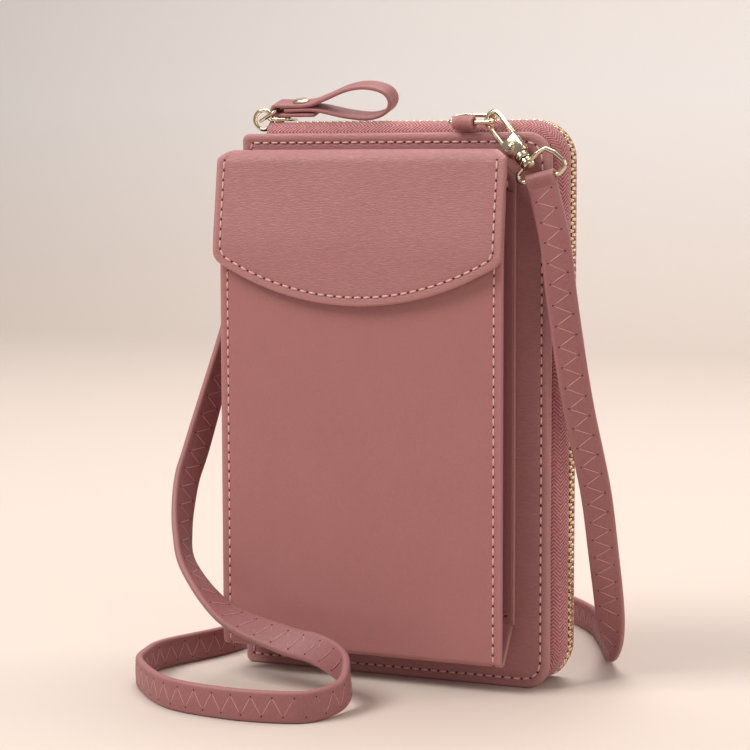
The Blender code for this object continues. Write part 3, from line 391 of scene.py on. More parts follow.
def bridge(one, two):
    # Faces between two rings of point numbers; a ring drawn to one point repeats its number
    count = len(one)
    quads = [(one[k], one[(k + 1) % count], two[(k + 1) % count], two[k]) for k in range(count)]
    return [face for face in (tuple(dict.fromkeys(quad)) for quad in quads) if len(face) > 2]


def loft(rings):
    return [face for one, two in zip(rings, rings[1:]) for face in bridge(one, two)]


def solidFaces(size, count):
    # Faces of a closed body made of rings of count points, one after another
    rings = [range(start, start + count) for start in range(0, size, count)]
    return loft(rings) + [tuple(rings[0]), tuple(rings[-1])]


def loopDistance(points, loop):
    # Each point's distance to a closed loop of flat points
    points = np.array(points, float)[:, None, :]
    start = np.array(loop, float)
    side = np.roll(start, -1, 0) - start
    share = ((points - start) * side).sum(2) / np.maximum((side ** 2).sum(1), 1e-9)
    nearest = start + np.clip(share, 0, 1)[..., None] * side
    return np.sqrt(((points - nearest) ** 2).sum(2)).min(1)


def edgeRise(angle, half, edge):
    # The height of a rounded edge at an angle from its middle
    return (half - edge) * (1 if angle > 0.01 else -1 if angle < -0.01 else 0) + edge * math.sin(angle)


def sheetShape(grid, place, thickness, edge, relief=None, backRelief=None, rimSteps=6):
    # A sheet of leather with a rounded edge. grid holds rows of flat points, inset by the edge's
    # radius; place(a, b, height) puts a flat point into the bag, height measured from mid leather.
    rows, columns = len(grid), len(grid[0])
    loop = [(0, c) for c in range(columns)] + [(r, columns - 1) for r in range(1, rows)]
    loop += [(rows - 1, c) for c in range(columns - 2, -1, -1)] + [(r, 0) for r in range(rows - 2, 0, -1)]
    loopPoints = [Vector(grid[r][c]) for r, c in loop]
    area = sum(p.x * q.y - q.x * p.y for p, q in zip(loopPoints, loopPoints[1:] + loopPoints[:1]))
    side = -1 if area > 0 else 1
    outs = [leftOf(runAt(loopPoints, index, True)) * side for index in range(len(loop))]
    flatGrid = [tuple(p) for row in grid for p in row]
    distance = loopDistance(flatGrid, [tuple(p) for p in loopPoints]) + edge
    half = thickness / 2
    points, flats, rims, faces = [], [], [], []

    def add(a, b, height, rim):
        points.append(place(a, b, height))
        flats.append((a, b, height))
        rims.append(rim)

    for sign, rise in ((1, relief), (-1, backRelief)):
        for (a, b), d in zip(flatGrid, distance):
            add(a, b, sign * half + (sign * rise(d, a, b) if rise else 0), math.exp(-((d - edge) / 0.9) ** 2))
    for corner in [r * columns + c for r in range(rows - 1) for c in range(columns - 1)]:
        quad = (corner, corner + 1, corner + columns + 1, corner + columns)
        faces += [quad, tuple(rows * columns + i for i in reversed(quad))]
    rings = [[r * columns + c for r, c in loop]]
    for step in range(1, rimSteps):
        angle = math.pi / 2 - math.pi * step / rimSteps
        rings.append(range(len(points), len(points) + len(loop)))
        for p, out in zip(loopPoints, outs):
            add(*(p + out * edge * math.cos(angle)), edgeRise(angle, half, edge), 1.0)
    rings.append([rows * columns + r * columns + c for r, c in loop])
    return points, faces + loft(rings), flats, rims


def spread(low, high, offsets, count):
    # Places from low to high: some at set distances from both ends, the rest evenly between
    first = low + offsets[-1]
    last = high - offsets[-1]
    middle = [first + (last - first) * i / count for i in range(1, count)]
    return [low + d for d in offsets] + middle + [high - d for d in reversed(offsets)]


def roundedGrid(box, radii, inset, offsets, step):
    # Rows that fill a rounded rectangle; radii are those of its low left, low right, high right and high left
    x0, y0, x1, y1 = box[0] + inset, box[1] + inset, box[2] - inset, box[3] - inset
    radii = [max(radius - inset, 0.2) for radius in radii]
    heights = {round(y, 4) for y in spread(y0, y1, offsets, max(int((y1 - y0) / step), 1))}
    for lift in [1 - math.cos(math.radians(15 * k)) for k in range(1, 7)]:
        heights |= {round(y0 + radius * lift, 4) for radius in radii[:2]}
        heights |= {round(y1 - radius * lift, 4) for radius in radii[2:]}
    kept = []
    for y in sorted(heights):
        if not kept or y - kept[-1] > 0.04:
            kept.append(y)

    def cut(y, lowRadius, highRadius):
        for radius, depth in ((lowRadius, y0 + lowRadius - y), (highRadius, y - y1 + highRadius)):
            if depth > 0:
                return radius - math.sqrt(max(radius ** 2 - depth ** 2, 0))
        return 0

    columns = max(int((x1 - x0) / step), 1)
    return [[(x, y) for x in spread(x0 + cut(y, radii[0], radii[3]), x1 - cut(y, radii[1], radii[2]),
                                    offsets, columns)] for y in kept]


def pathPlace(path, put):
    # Follows a flat path: place(distance, across, height) for put(flat point, across)
    nodes = [Vector(p) for p in path]
    lengths = runLengths(nodes)
    normals = [leftOf(runAt(nodes, index)) for index in range(len(nodes))]

    def place(s, w, h):
        k, share = locate(lengths, s)
        normal = normals[k].lerp(normals[k + 1], min(max(share, 0), 1)).normalized()
        return put(nodes[k] + (nodes[k + 1] - nodes[k]) * share + normal * h, w)

    return place, lengths


def denser(values, step):
    # The same rising values, with more between those that lie far apart
    filled = [values[0]]
    for low, high in zip(values, values[1:]):
        count = max(math.ceil((high - low) / step - 0.01), 1)
        filled += [low + (high - low) * i / count for i in range(1, count + 1)]
    return filled


def onFront(point, across):
    return (across, point[0], point[1])    # the path runs in y and z, the width along x


def onTop(point, across):
    return (point[0], across, point[1])    # the path runs in x and z, the width along y


def onPlan(point, across):
    return (point[0], point[1], across)    # the path runs in x and y, the width along z


def bandShape(path, put, low, high, thickness, edge, offsets, step, relief=None, backRelief=None):
    # A strip of leather along a path; low and high may change with the distance along it
    place, lengths = pathPlace(path, put)
    lowOf = low if callable(low) else lambda s: low
    highOf = high if callable(high) else lambda s: high
    stations = denser([edge] + [s for s in lengths[1:-1] if edge + 0.05 < s < lengths[-1] - edge - 0.05]
                      + [lengths[-1] - edge], step)
    columns = max(int((highOf(edge) - lowOf(edge)) / step), 1)
    grid = [[(s, w) for w in spread(lowOf(s) + edge, highOf(s) - edge, offsets, columns)] for s in stations]
    return sheetShape(grid, place, thickness, edge, relief, backRelief), place, lengths[-1]


def tubeShape(points, radius, closed, sides=14):
    # A round wire through points, its frame carried along without twist, its ends domed
    nodes = [Vector(p) for p in points]
    tangents = [runAt(nodes, index, closed).normalized() for index in range(len(nodes))]
    side = tangents[0].orthogonal().normalized()
    made, rings, faces = [], [], []
    for node, tangent in zip(nodes, tangents):
        side = (side - tangent * side.dot(tangent)).normalized()
        other = tangent.cross(side)
        rings.append(range(len(made), len(made) + sides))
        made += [node + side * c + other * s for c, s in circle(radius, sides)]
    if closed:
        side = (side - tangents[0] * side.dot(tangents[0])).normalized()
        shift = max(range(sides), key=lambda k: (made[k] - nodes[0]).dot(side))
        return made, loft(rings + [[(k + shift) % sides for k in range(sides)]])
    for index, sign in ((0, -1), (len(nodes) - 1, 1)):
        node, base = nodes[index], rings[index]
        tip = tangents[index] * sign * radius
        dome = [base]
        for reach, width in ((0.5, 0.87), (0.87, 0.5)):
            dome.append(range(len(made), len(made) + sides))
            made += [node + (made[k] - node) * width + tip * reach for k in base]
        faces += loft(dome + [[len(made)] * sides])
        made.append(node + tip)
    return made, faces + loft(rings)


def latheShape(profile, steps=32):
    # A turned solid about z from (radius, z) points that start and end on the axis
    made, rings = [], []
    for radius, z in profile:
        rings.append(range(len(made), len(made) + steps) if radius else [len(made)] * steps)
        made += [Vector((x, y, z)) for x, y in circle(radius, steps if radius else 1)]
    return made, loft(rings)


def slabShape(corners, radii, low, high, bevel):
    # A plate with rounded corners and softened rims, flat in x and y, from low to high in z
    made = []
    for inset, z in ((bevel, low), (bevel * 0.3, low + bevel * 0.3), (0, low + bevel),
                     (0, high - bevel), (bevel * 0.3, high - bevel * 0.3), (bevel, high)):
        loop = filleted(*insetCorners(corners, radii, inset), True)
        made += [Vector((p.x, p.y, z)) for p in loop]
    *sides, first, last = solidFaces(len(made), len(loop))
    return made, [first[::-1], *sides, last]


def placed(shape, place=(0, 0, 0), turn=None):
    turn = turn or Matrix.Identity(3)
    return [turn @ Vector(p) + Vector(place) for p in shape[0]], shape[1]


def joined(*shapes):
    made, faces = [], []
    flats, rims = [], []
    for points, polygons, *laid in shapes:
        start = len(made)
        made += points
        faces += [tuple(start + i for i in face) for face in polygons]
        if laid:
            flats += laid[0]
            rims += laid[1]
    return (made, faces, flats, rims) if flats else (made, faces)


# Stitches and teeth are laid by Geometry Nodes

def newTree(name, sockets):
    # A node group that changes geometry, with the identifiers of its inputs
    tree = bpy.data.node_groups.new(name, "GeometryNodeTree")
    tree.is_modifier = True
    tree.interface.new_socket(name="Geometry", in_out="OUTPUT", socket_type="NodeSocketGeometry")
    ports = {}
    for label, kind in {"Geometry": "Geometry", **sockets}.items():
        socket = tree.interface.new_socket(name=label, in_out="INPUT", socket_type="NodeSocket" + kind)
        ports[label] = socket.identifier
    return tree, ports, addNode(tree, "NodeGroupInput").outputs


def turnedTo(tree, axis, along, upward):
    # A turn that lays one axis along a vector, and then z as near as it can to another
    first = addNode(tree, "FunctionNodeAlignRotationToVector", {"Vector": along}, axis=axis)
    return addNode(tree, "FunctionNodeAlignRotationToVector", {"Rotation": first, "Vector": upward},
                   axis="Z", pivot_axis=axis)


def laidOut(tree, places, shape, turn, size, material):
    # One shape on every place, turned and scaled, in a material
    row = addNode(tree, "GeometryNodeInstanceOnPoints", {
        "Points": places, "Instance": shape, "Rotation": turn, "Scale": size})
    real = addNode(tree, "GeometryNodeRealizeInstances", {"Geometry": row})
    return addNode(tree, "GeometryNodeSetMaterial", {"Geometry": real, "Material": material})


def endTree(tree, last):
    smooth = addNode(tree, "GeometryNodeSetShadeSmooth", {"Geometry": last})
    addNode(tree, "NodeGroupOutput", {"Geometry": smooth})


def grown(name, mesh, tree, ports, inputs):
    # The plain mesh that a node group makes of a mesh's points and edges
    piece = addObject(name, mesh)
    modifier = piece.modifiers.new(tree.name, "NODES")
    modifier.node_group = tree
    for key, value in inputs.items():
        modifier[ports[key]] = value
    graph = bpy.context.evaluated_depsgraph_get()
    made = bpy.data.meshes.new_from_object(piece.evaluated_get(graph), preserve_all_data_layers=True,
                                           depsgraph=graph)
    piece.modifiers.clear()
    piece.data = made
    return piece


def stitchTree():
    # Each edge of a line of needle places becomes a thread, and each place a dark dot of painted shade for
    # its hole
    tree, ports, given = newTree("stitching", {
        "Thread Width": "Float", "Thread Share": "Float", "Hole Width": "Float", "Thread": "Material",
        "Hole": "Material"})
    width, hole = given["Thread Width"], given["Hole Width"]
    facing = addNode(tree, "GeometryNodeInputNamedAttribute", None, {"Name": "facing"},
                     data_type="FLOAT_VECTOR")
    ends = addNode(tree, "GeometryNodeInputMeshEdgeVertices").outputs
    run = addNode(tree, "ShaderNodeVectorMath", {0: ends["Position 2"], 1: ends["Position 1"]},
                  operation="SUBTRACT")
    capture = addNode(tree, "GeometryNodeCaptureAttribute", domain="EDGE")
    for name in ("Run", "Facing"):
        capture.capture_items.new("VECTOR", name)
    connect(tree, capture, {"Geometry": given["Geometry"], "Run": run, "Facing": facing})
    caught = capture.outputs
    middles = addNode(tree, "GeometryNodeMeshToPoints", {"Mesh": capture}, mode="EDGES")
    upright = turnedTo(tree, "X", caught["Run"], caught["Facing"])
    length = addNode(tree, "ShaderNodeVectorMath", {0: caught["Run"]}, operation="LENGTH")
    reach = addNode(tree, "ShaderNodeMath", {0: length, 1: given["Thread Share"]}, operation="MULTIPLY")
    threadSize = addNode(tree, "ShaderNodeCombineXYZ", {"X": reach, "Y": width, "Z": width})
    bead = addNode(tree, "GeometryNodeMeshUVSphere", None, {"Segments": 8, "Rings": 5, "Radius": 0.5})
    threads = laidOut(tree, middles, bead, upright, threadSize, given["Thread"])
    places = addNode(tree, "GeometryNodeMeshToPoints", {"Mesh": given["Geometry"]}, mode="VERTICES")
    lying = addNode(tree, "FunctionNodeAlignRotationToVector", {"Vector": facing}, axis="Z")
    flatness = addNode(tree, "ShaderNodeMath", {0: hole}, {1: 0.22}, operation="MULTIPLY")
    holeSize = addNode(tree, "ShaderNodeCombineXYZ", {"X": hole, "Y": hole, "Z": flatness})
    dot = addNode(tree, "GeometryNodeMeshUVSphere", None, {"Segments": 8, "Rings": 4, "Radius": 0.5})
    holes = laidOut(tree, places, dot, lying, holeSize, given["Hole"])
    both = addNode(tree, "GeometryNodeJoinGeometry", {"Geometry": threads})
    connect(tree, both, {"Geometry": holes})
    endTree(tree, both)
    return tree, ports


stitching, stitchPorts = stitchTree()
stitchValues = {"pitch": 3.4, "thread": 0.8, "share": 0.8, "hole": 0.8}
zigzagValues = {"thread": 0.34, "share": 0.96, "hole": 0.6}


def sew(name, lines, body="wallet", values=stitchValues, thread=paleThread):
    # Each line is a list of (needle place, facing), in millimetres
    points, facings, edges = [], [], []
    for line in lines:
        start = len(points)
        points += [toFrame(p) for p, facing in line]
        facings += [tuple(facing) for p, facing in line]
        edges += [(start + i, start + i + 1) for i in range(len(line) - 1)]
    piece = grown(name, newMesh(name, points, edges, facing=facings), stitching, stitchPorts, {
        "Thread Width": values["thread"] * mm, "Thread Share": values["share"],
        "Hole Width": values["hole"] * mm, "Thread": thread, "Hole": needleHoleShade})
    dress(piece, (), body)


def needlePlaces(flatLine, place, lift, pitch=stitchValues["pitch"], closed=False):
    # Even needle places along a flat line, on the leather's face at a height from its middle
    fine = [Vector(p) for p in flatLine]
    if closed:
        fine.append(fine[0])
    lengths = runLengths(fine)
    count = max(round(lengths[-1] / pitch), 1)
    line = []
    for index in range(count + 1):
        k, share = locate(lengths, lengths[-1] * index / count)
        a, b = fine[k] + (fine[k + 1] - fine[k]) * share
        here = Vector(place(a, b, lift))
        line.append((here, (Vector(place(a, b, lift * 1.2)) - here).normalized()))
    return line


# Floor and light

stageValues = {"floor": "d6cac1", "backdrop": "dfdbd9", "size": 3.0, "curve": 0.5, "back": 1.75}


def makeStage(values):
    # A pale sweep of painted board: a floor that curves up into a wall behind the bag
    material, tree, shader = newMaterial("painted_board_sweep", {"Roughness": 0.75})
    coords = addNode(tree, "ShaderNodeTexCoord").outputs["Object"]
    height = addNode(tree, "ShaderNodeSeparateXYZ", {"Vector": coords}).outputs["Z"]
    up = addNode(tree, "ShaderNodeMapRange", {"Value": height}, {"From Min": 0.0, "From Max": 0.25})
    colour = addNode(tree, "ShaderNodeMix", {0: up}, {
        6: hexColour(values["floor"]), 7: hexColour(values["backdrop"])}, data_type="RGBA")
    connect(tree, shader, {"Base Color": colour})
    reach, bend, back = values["size"], values["curve"], values["back"]
    line = [(-reach, 0.0), *[tuple(p) for p in arc((back - bend, bend), bend, -90, 0, 12)], (back, reach)]
    points = [(x, y, z) for y, z in line for x in (-reach, reach)]
    faces = [(i, i + 1, i + 3, i + 2) for i in range(0, 2 * len(line) - 2, 2)]
    mesh = newMesh("floor", points, faces=faces)
    mesh.materials.append(material)
    mesh.shade_smooth()
    addObject("floor", mesh)


lightValues = {
    "key": {"place": (-0.8, -0.85, 1.35), "size": 0.75, "power": 23, "colour": "fff9f3"},
    "fill": {"place": (1.1, -0.8, 0.6), "size": 1.0, "power": 3.5, "colour": "fff3ec"},
    "top": {"place": (0.1, 0.3, 1.35), "size": 0.8, "power": 7, "colour": "fff9f5"},
    "rim": {"place": (0.9, 0.6, 0.5), "size": 0.5, "power": 3, "colour": "fff0e8"},
    "wall": {"place": (-0.2, 0.75, 1.6), "aim": (-0.5, 1.7, 0.3), "size": 1.2, "power": 14,
             "colour": "fffaf8"},
}
worldValues = {"Color": hexColour("f5f1ee"), "Strength": 0.3}


def makeLights(lights):
    for name, values in lights.items():
        data = bpy.data.lights.new(name, "AREA")
        data.size = values["size"]
        data.energy = values["power"]
        data.color = hexColour(values["colour"])[:3]
        light = addObject(name, data)
        light.location = values["place"]
        target = Vector(values.get("aim", (0, 0, 0.095)))
        light.rotation_euler = (target - light.location).to_track_quat("-Z", "Y").to_euler()
    world = bpy.data.worlds.new("studio")
    bpy.context.scene.world = world
    world.use_nodes = True
    background = world.node_tree.nodes["Background"]
    for key, value in worldValues.items():
        background.inputs[key].default_value = value
    bpy.context.scene.view_settings.view_transform = "Standard"


makeStage(stageValues)
makeLights(lightValues)
print("stage and lights set")


# Strap: two layers of leather turned in at the edges, 10.5 mm wide, zigzag sewn on both faces

strapValues = {"width": 10.5, "thickness": 2.6, "edge": 1.1, "steps": 8, "period": 7.0, "amplitude": 6.3,
               "sewnFrom": 0.9, "lift": 0.02}
strapRoute = (
    ((-66.2, 11.0, 136.7), (0, 1, 0)),
    ((-67.5, 10.0, 122.0), (0.15, 0.99, 0)),
    ((-75.2, -2.0, 80.0), (0.5, 0.86, 0)),
    ((-77.2, -8.0, 65.5), (0.35, 0.93, 0.1)),
    ((-74.5, -16.5, 49.5), (0.0, 0.99, 0.13)),
    ((-68.1, -23.0, 37.5), (-0.26, 0.95, 0.17)),
    ((-49.5, -31.0, 24.1), (-0.28, 0.86, 0.42)),
    ((-26.0, -35.0, 17.9), (-0.05, 0.68, 0.73)),
    ((-13.8, -37.0, 16.4), (0, 0.5, 0.86)),
    ((-3.8, -41.0, 13.9), (-0.1, 0.35, 0.93)),
    ((3.2, -47.5, 10.4), (-0.15, 0.1, 0.98)),
    ((5.0, -56.0, 6.6), (0, 0, 1)),
    ((1.5, -67.8, 5.4), (0, 0, 1)),
    ((-6.2, -74.0, 5.4), (0, 0, 1)),
    ((-26.6, -76.6, 5.4), (0, 0, 1)),
    ((-51.9, -70.8, 5.4), (0, 0, 1)),
    ((-73.1, -50.5, 5.4), (0, 0, 1)),
    ((-79.0, -34.9, 5.4), (0, 0, 1)),
    ((-79.7, -19.8, 5.4), (0, 0, 1)),
    ((-69.9, 8.0, 5.4), (0, 0, 1)),
    ((-68.0, 33.0, 5.4), (0, 0, 1)),
    ((-79.0, 85.0, 5.4), (0, 0, 1)),
    ((-80.0, 112.0, 5.4), (0, 0, 1)),
    ((-66.0, 130.0, 5.4), (0, 0, 1)),
    ((-48.0, 126.0, 5.4), (0, 0, 1)),
    ((-36.0, 94.0, 5.4), (0, 0, 1)),
    ((-22.0, 84.0, 5.4), (0, 0, 1)),
    ((-10.0, 96.0, 5.4), (0, 0, 1)),
    ((8.0, 124.0, 5.4), (0, 0, 1)),
    ((27.0, 112.0, 5.4), (0, 0, 1)),
    ((43.0, 94.0, 5.4), (0, 0, 1)),
    ((51.0, 79.0, 5.4), (0, 0, 1)),
    ((57.5, 64.5, 5.4), (0, 0, 1)),
    ((62.5, 51.0, 5.6), (-0.15, 0, 0.99)),
    ((66.6, 40.0, 7.8), (-0.5, 0.05, 0.86)),
    ((69.7, 31.5, 14.5), (-0.85, -0.05, 0.48)),
    ((71.4, 24.5, 26.0), (-0.95, -0.2, 0.12)),
    ((72.1, 15.0, 46.0), (-0.95, -0.3, 0)),
    ((71.8, 6.0, 69.6), (-0.94, -0.3, 0)),
    ((67.8, -2.4, 100.9), (-0.94, -0.3, -0.1)),
    ((63.7, -6.4, 134.0), (-0.93, -0.25, -0.15)),
    ((61.5, -7.6, 154.0), (-0.93, -0.1, -0.3)),
    ((57.15, -7.15, 171.6), (-0.97, 0, -0.24)),
)


def smoothBetween(before, start, end, after, share):
    # A smooth curve from start to end, led by the points before and after
    return (start * 2 + (end - before) * share + (before * 2 - start * 5 + end * 4 - after) * share ** 2
            + (start * 3 - before - end * 3 + after) * share ** 3) / 2


def strapStations(steps):
    # (place, along, across, through) at close steps along the route, and the distance at each
    places, sides = [[Vector(v) for v in line] for line in zip(*strapRoute)]
    places = [places[0] * 2 - places[1]] + places + [places[-1] * 2 - places[-2]]
    sides = [sides[0]] + sides + [sides[-1]]
    dense = [[smoothBetween(*line[index - 1:index + 3], step / steps) for line in (places, sides)]
             for index in range(1, len(places) - 2) for step in range(steps)]
    dense.append([places[-2], sides[-2]])
    path = [place for place, across in dense]
    stations = []
    for index, (place, across) in enumerate(dense):
        along = runAt(path, index).normalized()
        across = (across - along * across.dot(along)).normalized()
        stations.append((place, along, across, along.cross(across)))
    return stations, runLengths(path)


def strapSection(values):
    # Half a turned edge, a shallow dip at the seam and a soft crown between, all the way round
    half, thick, edge = values["width"] / 2, values["thickness"] / 2, values["edge"]
    section = []
    for sign in (1, -1):
        for turn in [math.radians(angle) for angle in range(90, -90, -30)]:
            section.append((sign * (half - edge + edge * math.cos(turn)), sign * edgeRise(turn, thick, edge)))
        for across, dip in ((1.0, 0), (0.78, -0.02), (0.6, 0.04), (0.3, 0.08), (0, 0.1),
                            (-0.3, 0.08), (-0.6, 0.04), (-0.78, -0.02)):
            section.append((sign * (half - edge) * across, -sign * (thick + dip)))
    return section


def makeStrap(values):
    stations, lengths = strapStations(values["steps"])
    section = strapSection(values)
    points, flats, rims = [], [], []
    for (place, along, across, through), distance in zip(stations, lengths):
        for a, b in section:
            points.append(place + across * a + through * b)
            flats.append((distance, a, b))
            rims.append(math.exp(-((values["width"] / 2 - abs(a)) / 0.8) ** 2))
    shape = (points, solidFaces(len(points), len(section)), flats, rims)
    piece = makePiece("strap_leather_band", shape, strapLeather, ["strap"], sharp=60)
    lines = []
    lift = values["thickness"] / 2 + values["lift"]
    steps = int(lengths[-1] / (values["period"] / 2))
    for side in (1, -1):
        line = []
        for index in range(steps + 1):
            distance = values["sewnFrom"] + (lengths[-1] - 2 * values["sewnFrom"]) * index / steps
            k, share = locate(lengths, distance)
            pair = zip(stations[k], stations[k + 1])
            place, along, across, through = [near.lerp(far, share) for near, far in pair]
            reach = values["amplitude"] / 2 * (1 if index % 2 else -1)
            facing = through * side
            line.append((place + across * reach + facing * lift, facing))
        lines.append(line)
    sew("strap_zigzag_stitches", lines, "wallet", zigzagValues, strapThread)
    return piece, [toFrame(station[0]) for station in stations], lengths[-1] * mm


strapBand, strapPath, strapLength = makeStrap(strapValues)
print("strap made, %.3f m long" % strapLength)


# Wallet covers: card wrapped in grained leather, sewn all round 3.3 mm in from a turned edge

coverValues = {"width": 115.4, "height": 190.0, "thickness": 2.2, "edge": 1.0, "corner": 9.0, "hinge": 2.5,
               "seam": 3.3, "depth": 22.0, "groove": 0.16, "bead": 0.1, "lift": 0.12,
               "rows": (0, 1.2, 1.9, 2.3, 2.7, 3.4, 5.0)}


def seamRelief(seam, groove, bead):
    # The seam pulls the leather in, and leaves a soft bead between itself and the edge
    def relief(d, a, b):
        return (-groove * math.exp(-((d - seam) / 0.55) ** 2)
                + bead * math.exp(-((d - seam * 0.55) / 0.7) ** 2))
    return relief


def makeCover(node, outward, body, values):
    # outward is -1 for the front cover and 1 for the back
    half = values["width"] / 2
    box = (-half, 0, half, values["height"])
    radii = (values["hinge"], values["corner"], values["corner"], values["hinge"])
    middle = (values["depth"] if outward > 0 else 0) - outward * values["thickness"] / 2

    def place(x, z, h):
        return (x, middle + outward * h, z)

    grid = roundedGrid(box, radii, values["edge"], values["rows"], 9)
    relief = seamRelief(values["seam"], values["groove"], values["bead"])
    name = node + "_leather"
    makePiece(name, sheetShape(grid, place, values["thickness"], values["edge"], relief), grainedLeather,
              [node], body)
    loop = filleted(*insetCorners(boxCorners(*box), radii, values["seam"]), True)
    lift = values["thickness"] / 2 - values["groove"] + values["lift"]
    sew(name + "_stitches", [needlePlaces(loop, place, lift, closed=True)], body)


spineValues = {"inset": 1.2, "bulge": 0.4, "thickness": 1.8, "edge": 0.8, "seam": 2.6, "gap": 0.3, "ends": 3,
               "lift": 0.02, "rows": (0, 1.2, 2.6, 4)}


def makeSpine(values, cover):
    low = cover["thickness"] + values["gap"]
    high = cover["depth"] - cover["thickness"] - values["gap"]
    path = [(-cover["width"] / 2 + values["inset"] - 4 * values["bulge"] * share * (1 - share),
             low + (high - low) * share) for share in [step / 12 for step in range(13)]]
    shape, place, length = bandShape(path, onPlan, 0, cover["height"], values["thickness"], values["edge"],
                                     values["rows"], 6)
    makePiece("spine_leather", shape, grainedLeather, ["spine"])
    sew("spine_stitches", [
        needlePlaces([(s, values["ends"]), (s, cover["height"] - values["ends"])], place,
                     values["thickness"] / 2 + values["lift"])
        for s in (values["seam"], length - values["seam"])])


makeCover("front_cover", -1, "wallet", coverValues)
makeCover("back_cover", 1, "back", coverValues)
makeSpine(spineValues, coverValues)
print("wallet covers made")


# Pouch: a satin front panel that turns under at its foot, a back sheet, folded sides and a flap

pouchValues = {"width": 105.07, "offset": -6.835, "depth": 14.87, "foot": 9.7, "top": 182.0, "mouthDrop": 1.3,
               "leather": 1.5, "edge": 0.65, "foldRadius": 1.5, "tuckEnd": (-2.8, 22.5), "seam": 3.0,
               "backFoot": 22.0, "backThickness": 1.4, "backClip": 6.8, "backEdge": 0.6, "backSeam": 3.2,
               "rows": (0, 1.2, 1.8, 2.3, 2.9, 4.0), "backRows": (0, 1.6, 2.6, 3.6, 5),
               "gap": 0.3, "crown": 0.35, "leanFrom": 148.0, "lean": 4.4, "groove": 0.14, "bead": 0.06,
               "backGroove": 0.12, "backBead": 0.05, "lift": 0.06, "sewnFrom": 1.5, "backSewn": (3, 1)}
pouchLeft = pouchValues["offset"] - pouchValues["width"] / 2
pouchRight = pouchValues["offset"] + pouchValues["width"] / 2


def pouchFold(values):
    # Where the front panel turns at its foot: the fold's centre and the tuck's lean
    radius = values["foldRadius"]
    centre = Vector((-(values["depth"] - values["leather"] / 2 - radius),
                     values["foot"] + values["leather"] / 2 + radius))
    reach = Vector(values["tuckEnd"]) - centre
    return centre, math.atan2(reach.y, reach.x) + math.asin(radius / reach.length)


def pouchLean(z, values):
    # The pouch narrows towards its mouth: how far its front stands back at a height
    share = max(0, min(1, (z - values["leanFrom"]) / (values["top"] - values["leanFrom"])))
    return values["lean"] * share ** 1.3


def makePouchFront(values):
    centre, lean = pouchFold(values)
    radius = values["foldRadius"]
    mouth = values["top"] - values["mouthDrop"]
    heights = [mouth - (mouth - values["leanFrom"]) * step / 10 for step in range(11)]
    path = [(centre.x - radius + pouchLean(z, values), z) for z in heights]
    path += arc(centre, radius, 180, 270 + math.degrees(lean), 14) + [values["tuckEnd"]]
    seam = seamRelief(values["seam"], values["groove"], values["bead"])
    drop = mouth - centre.y

    def relief(d, s, w):
        # A slight fullness over the pocket, gone at the edges and before the fold
        across = max(0, 1 - (2 * (w - values["offset"]) / values["width"]) ** 2)
        down = max(0, min(1, (drop - s) / 25)) * min(1, s / 40)
        return seam(d, s, w) + values["crown"] * across * down

    shape, place = bandShape(path, onFront, pouchLeft, pouchRight, values["leather"], values["edge"],
                             values["rows"], 6, None, relief)[:2]
    makePiece("pouch_front_leather", shape, satinLeather, ["pouch_front"])
    sew("pouch_front_stitches", [
        needlePlaces([(s + values["sewnFrom"], w) for s in (0, drop)], place,
                     -values["leather"] / 2 + values["lift"])
        for w in (pouchLeft + values["seam"], pouchRight - values["seam"])])


def makePouchBack(values):
    clip, edge, thickness = values["backClip"], values["backEdge"], values["backThickness"]
    middle = -values["gap"] - thickness / 2
    low, high = values["backFoot"] + edge, values["top"] - edge

    def place(x, z, h):
        return (x, middle - h, z)

    grid = []
    for z in denser([low, low + 1.2, low + 3.2, high - clip, high - 2, high], 6):
        inset = edge + max(0, z - (high - clip))
        grid.append([(x, z) for x in spread(pouchLeft + inset, pouchRight - inset, values["backRows"], 12)])
    seam = values["backSeam"]
    relief = seamRelief(seam, values["backGroove"], values["backBead"])
    makePiece("pouch_back_leather", sheetShape(grid, place, thickness, edge, relief), satinLeather,
              ["pouch_back"])
    foot, head = values["backSewn"]
    sew("pouch_back_stitches", [
        needlePlaces([(x, values["backFoot"] + foot), (x, values["top"] - clip - head)], place, thickness / 2)
        for x in (pouchLeft + seam, pouchRight - seam)])


gussetValues = {"thickness": 1.0, "edge": 0.4, "flange": 4.7, "fold": 2.0, "top": 170.0, "inset": 0.4,
                "clear": 0.45, "lift": 1.6, "bend": 0.8}


def makeGusset(node, side, values, pouch):
    # A side wall folded inwards like a bellows, its foot cut along the tuck
    edgeX = pouch["offset"] + side * (pouch["width"] / 2 - values["inset"])
    front = -(pouch["depth"] - pouch["leather"] - values["clear"] - values["thickness"] / 2)
    back = -(2 * pouch["gap"] + pouch["backThickness"] + values["thickness"] / 2)
    flange = edgeX - side * values["flange"]
    corners = [(edgeX, front), (flange, front), (flange - side * values["fold"], (front + back) / 2),
               (flange, back), (edgeX, back)]
    path = filleted(corners, values["bend"], False, 4)
    centre, lean = pouchFold(pouch)
    endY, endZ = pouch["tuckEnd"]
    flatPlace = pathPlace(path, onPlan)[0]

    def put(point, z):
        # The wall's front edge stands back with the pouch's front
        share = (point[1] - back) / (front - back)
        return (point[0], point[1] + pouchLean(z, pouch) * share, z)

    def foot(s):
        return endZ + (flatPlace(s, 0, 0)[1] - endY) * math.tan(lean) + values["lift"] / math.cos(lean)

    shape = bandShape(path, put, foot, values["top"], values["thickness"], values["edge"], (0, 1.5), 6)[0]
    # Painted shade: the folded-in walls take the darkened gusset look
    makePiece(node + "_leather", shape, gussetShadeLeather, [node])


makePouchFront(pouchValues)
makePouchBack(pouchValues)
makeGusset("pouch_gusset_right", 1, gussetValues, pouchValues)
makeGusset("pouch_gusset_left", -1, gussetValues, pouchValues)
print("pouch made")


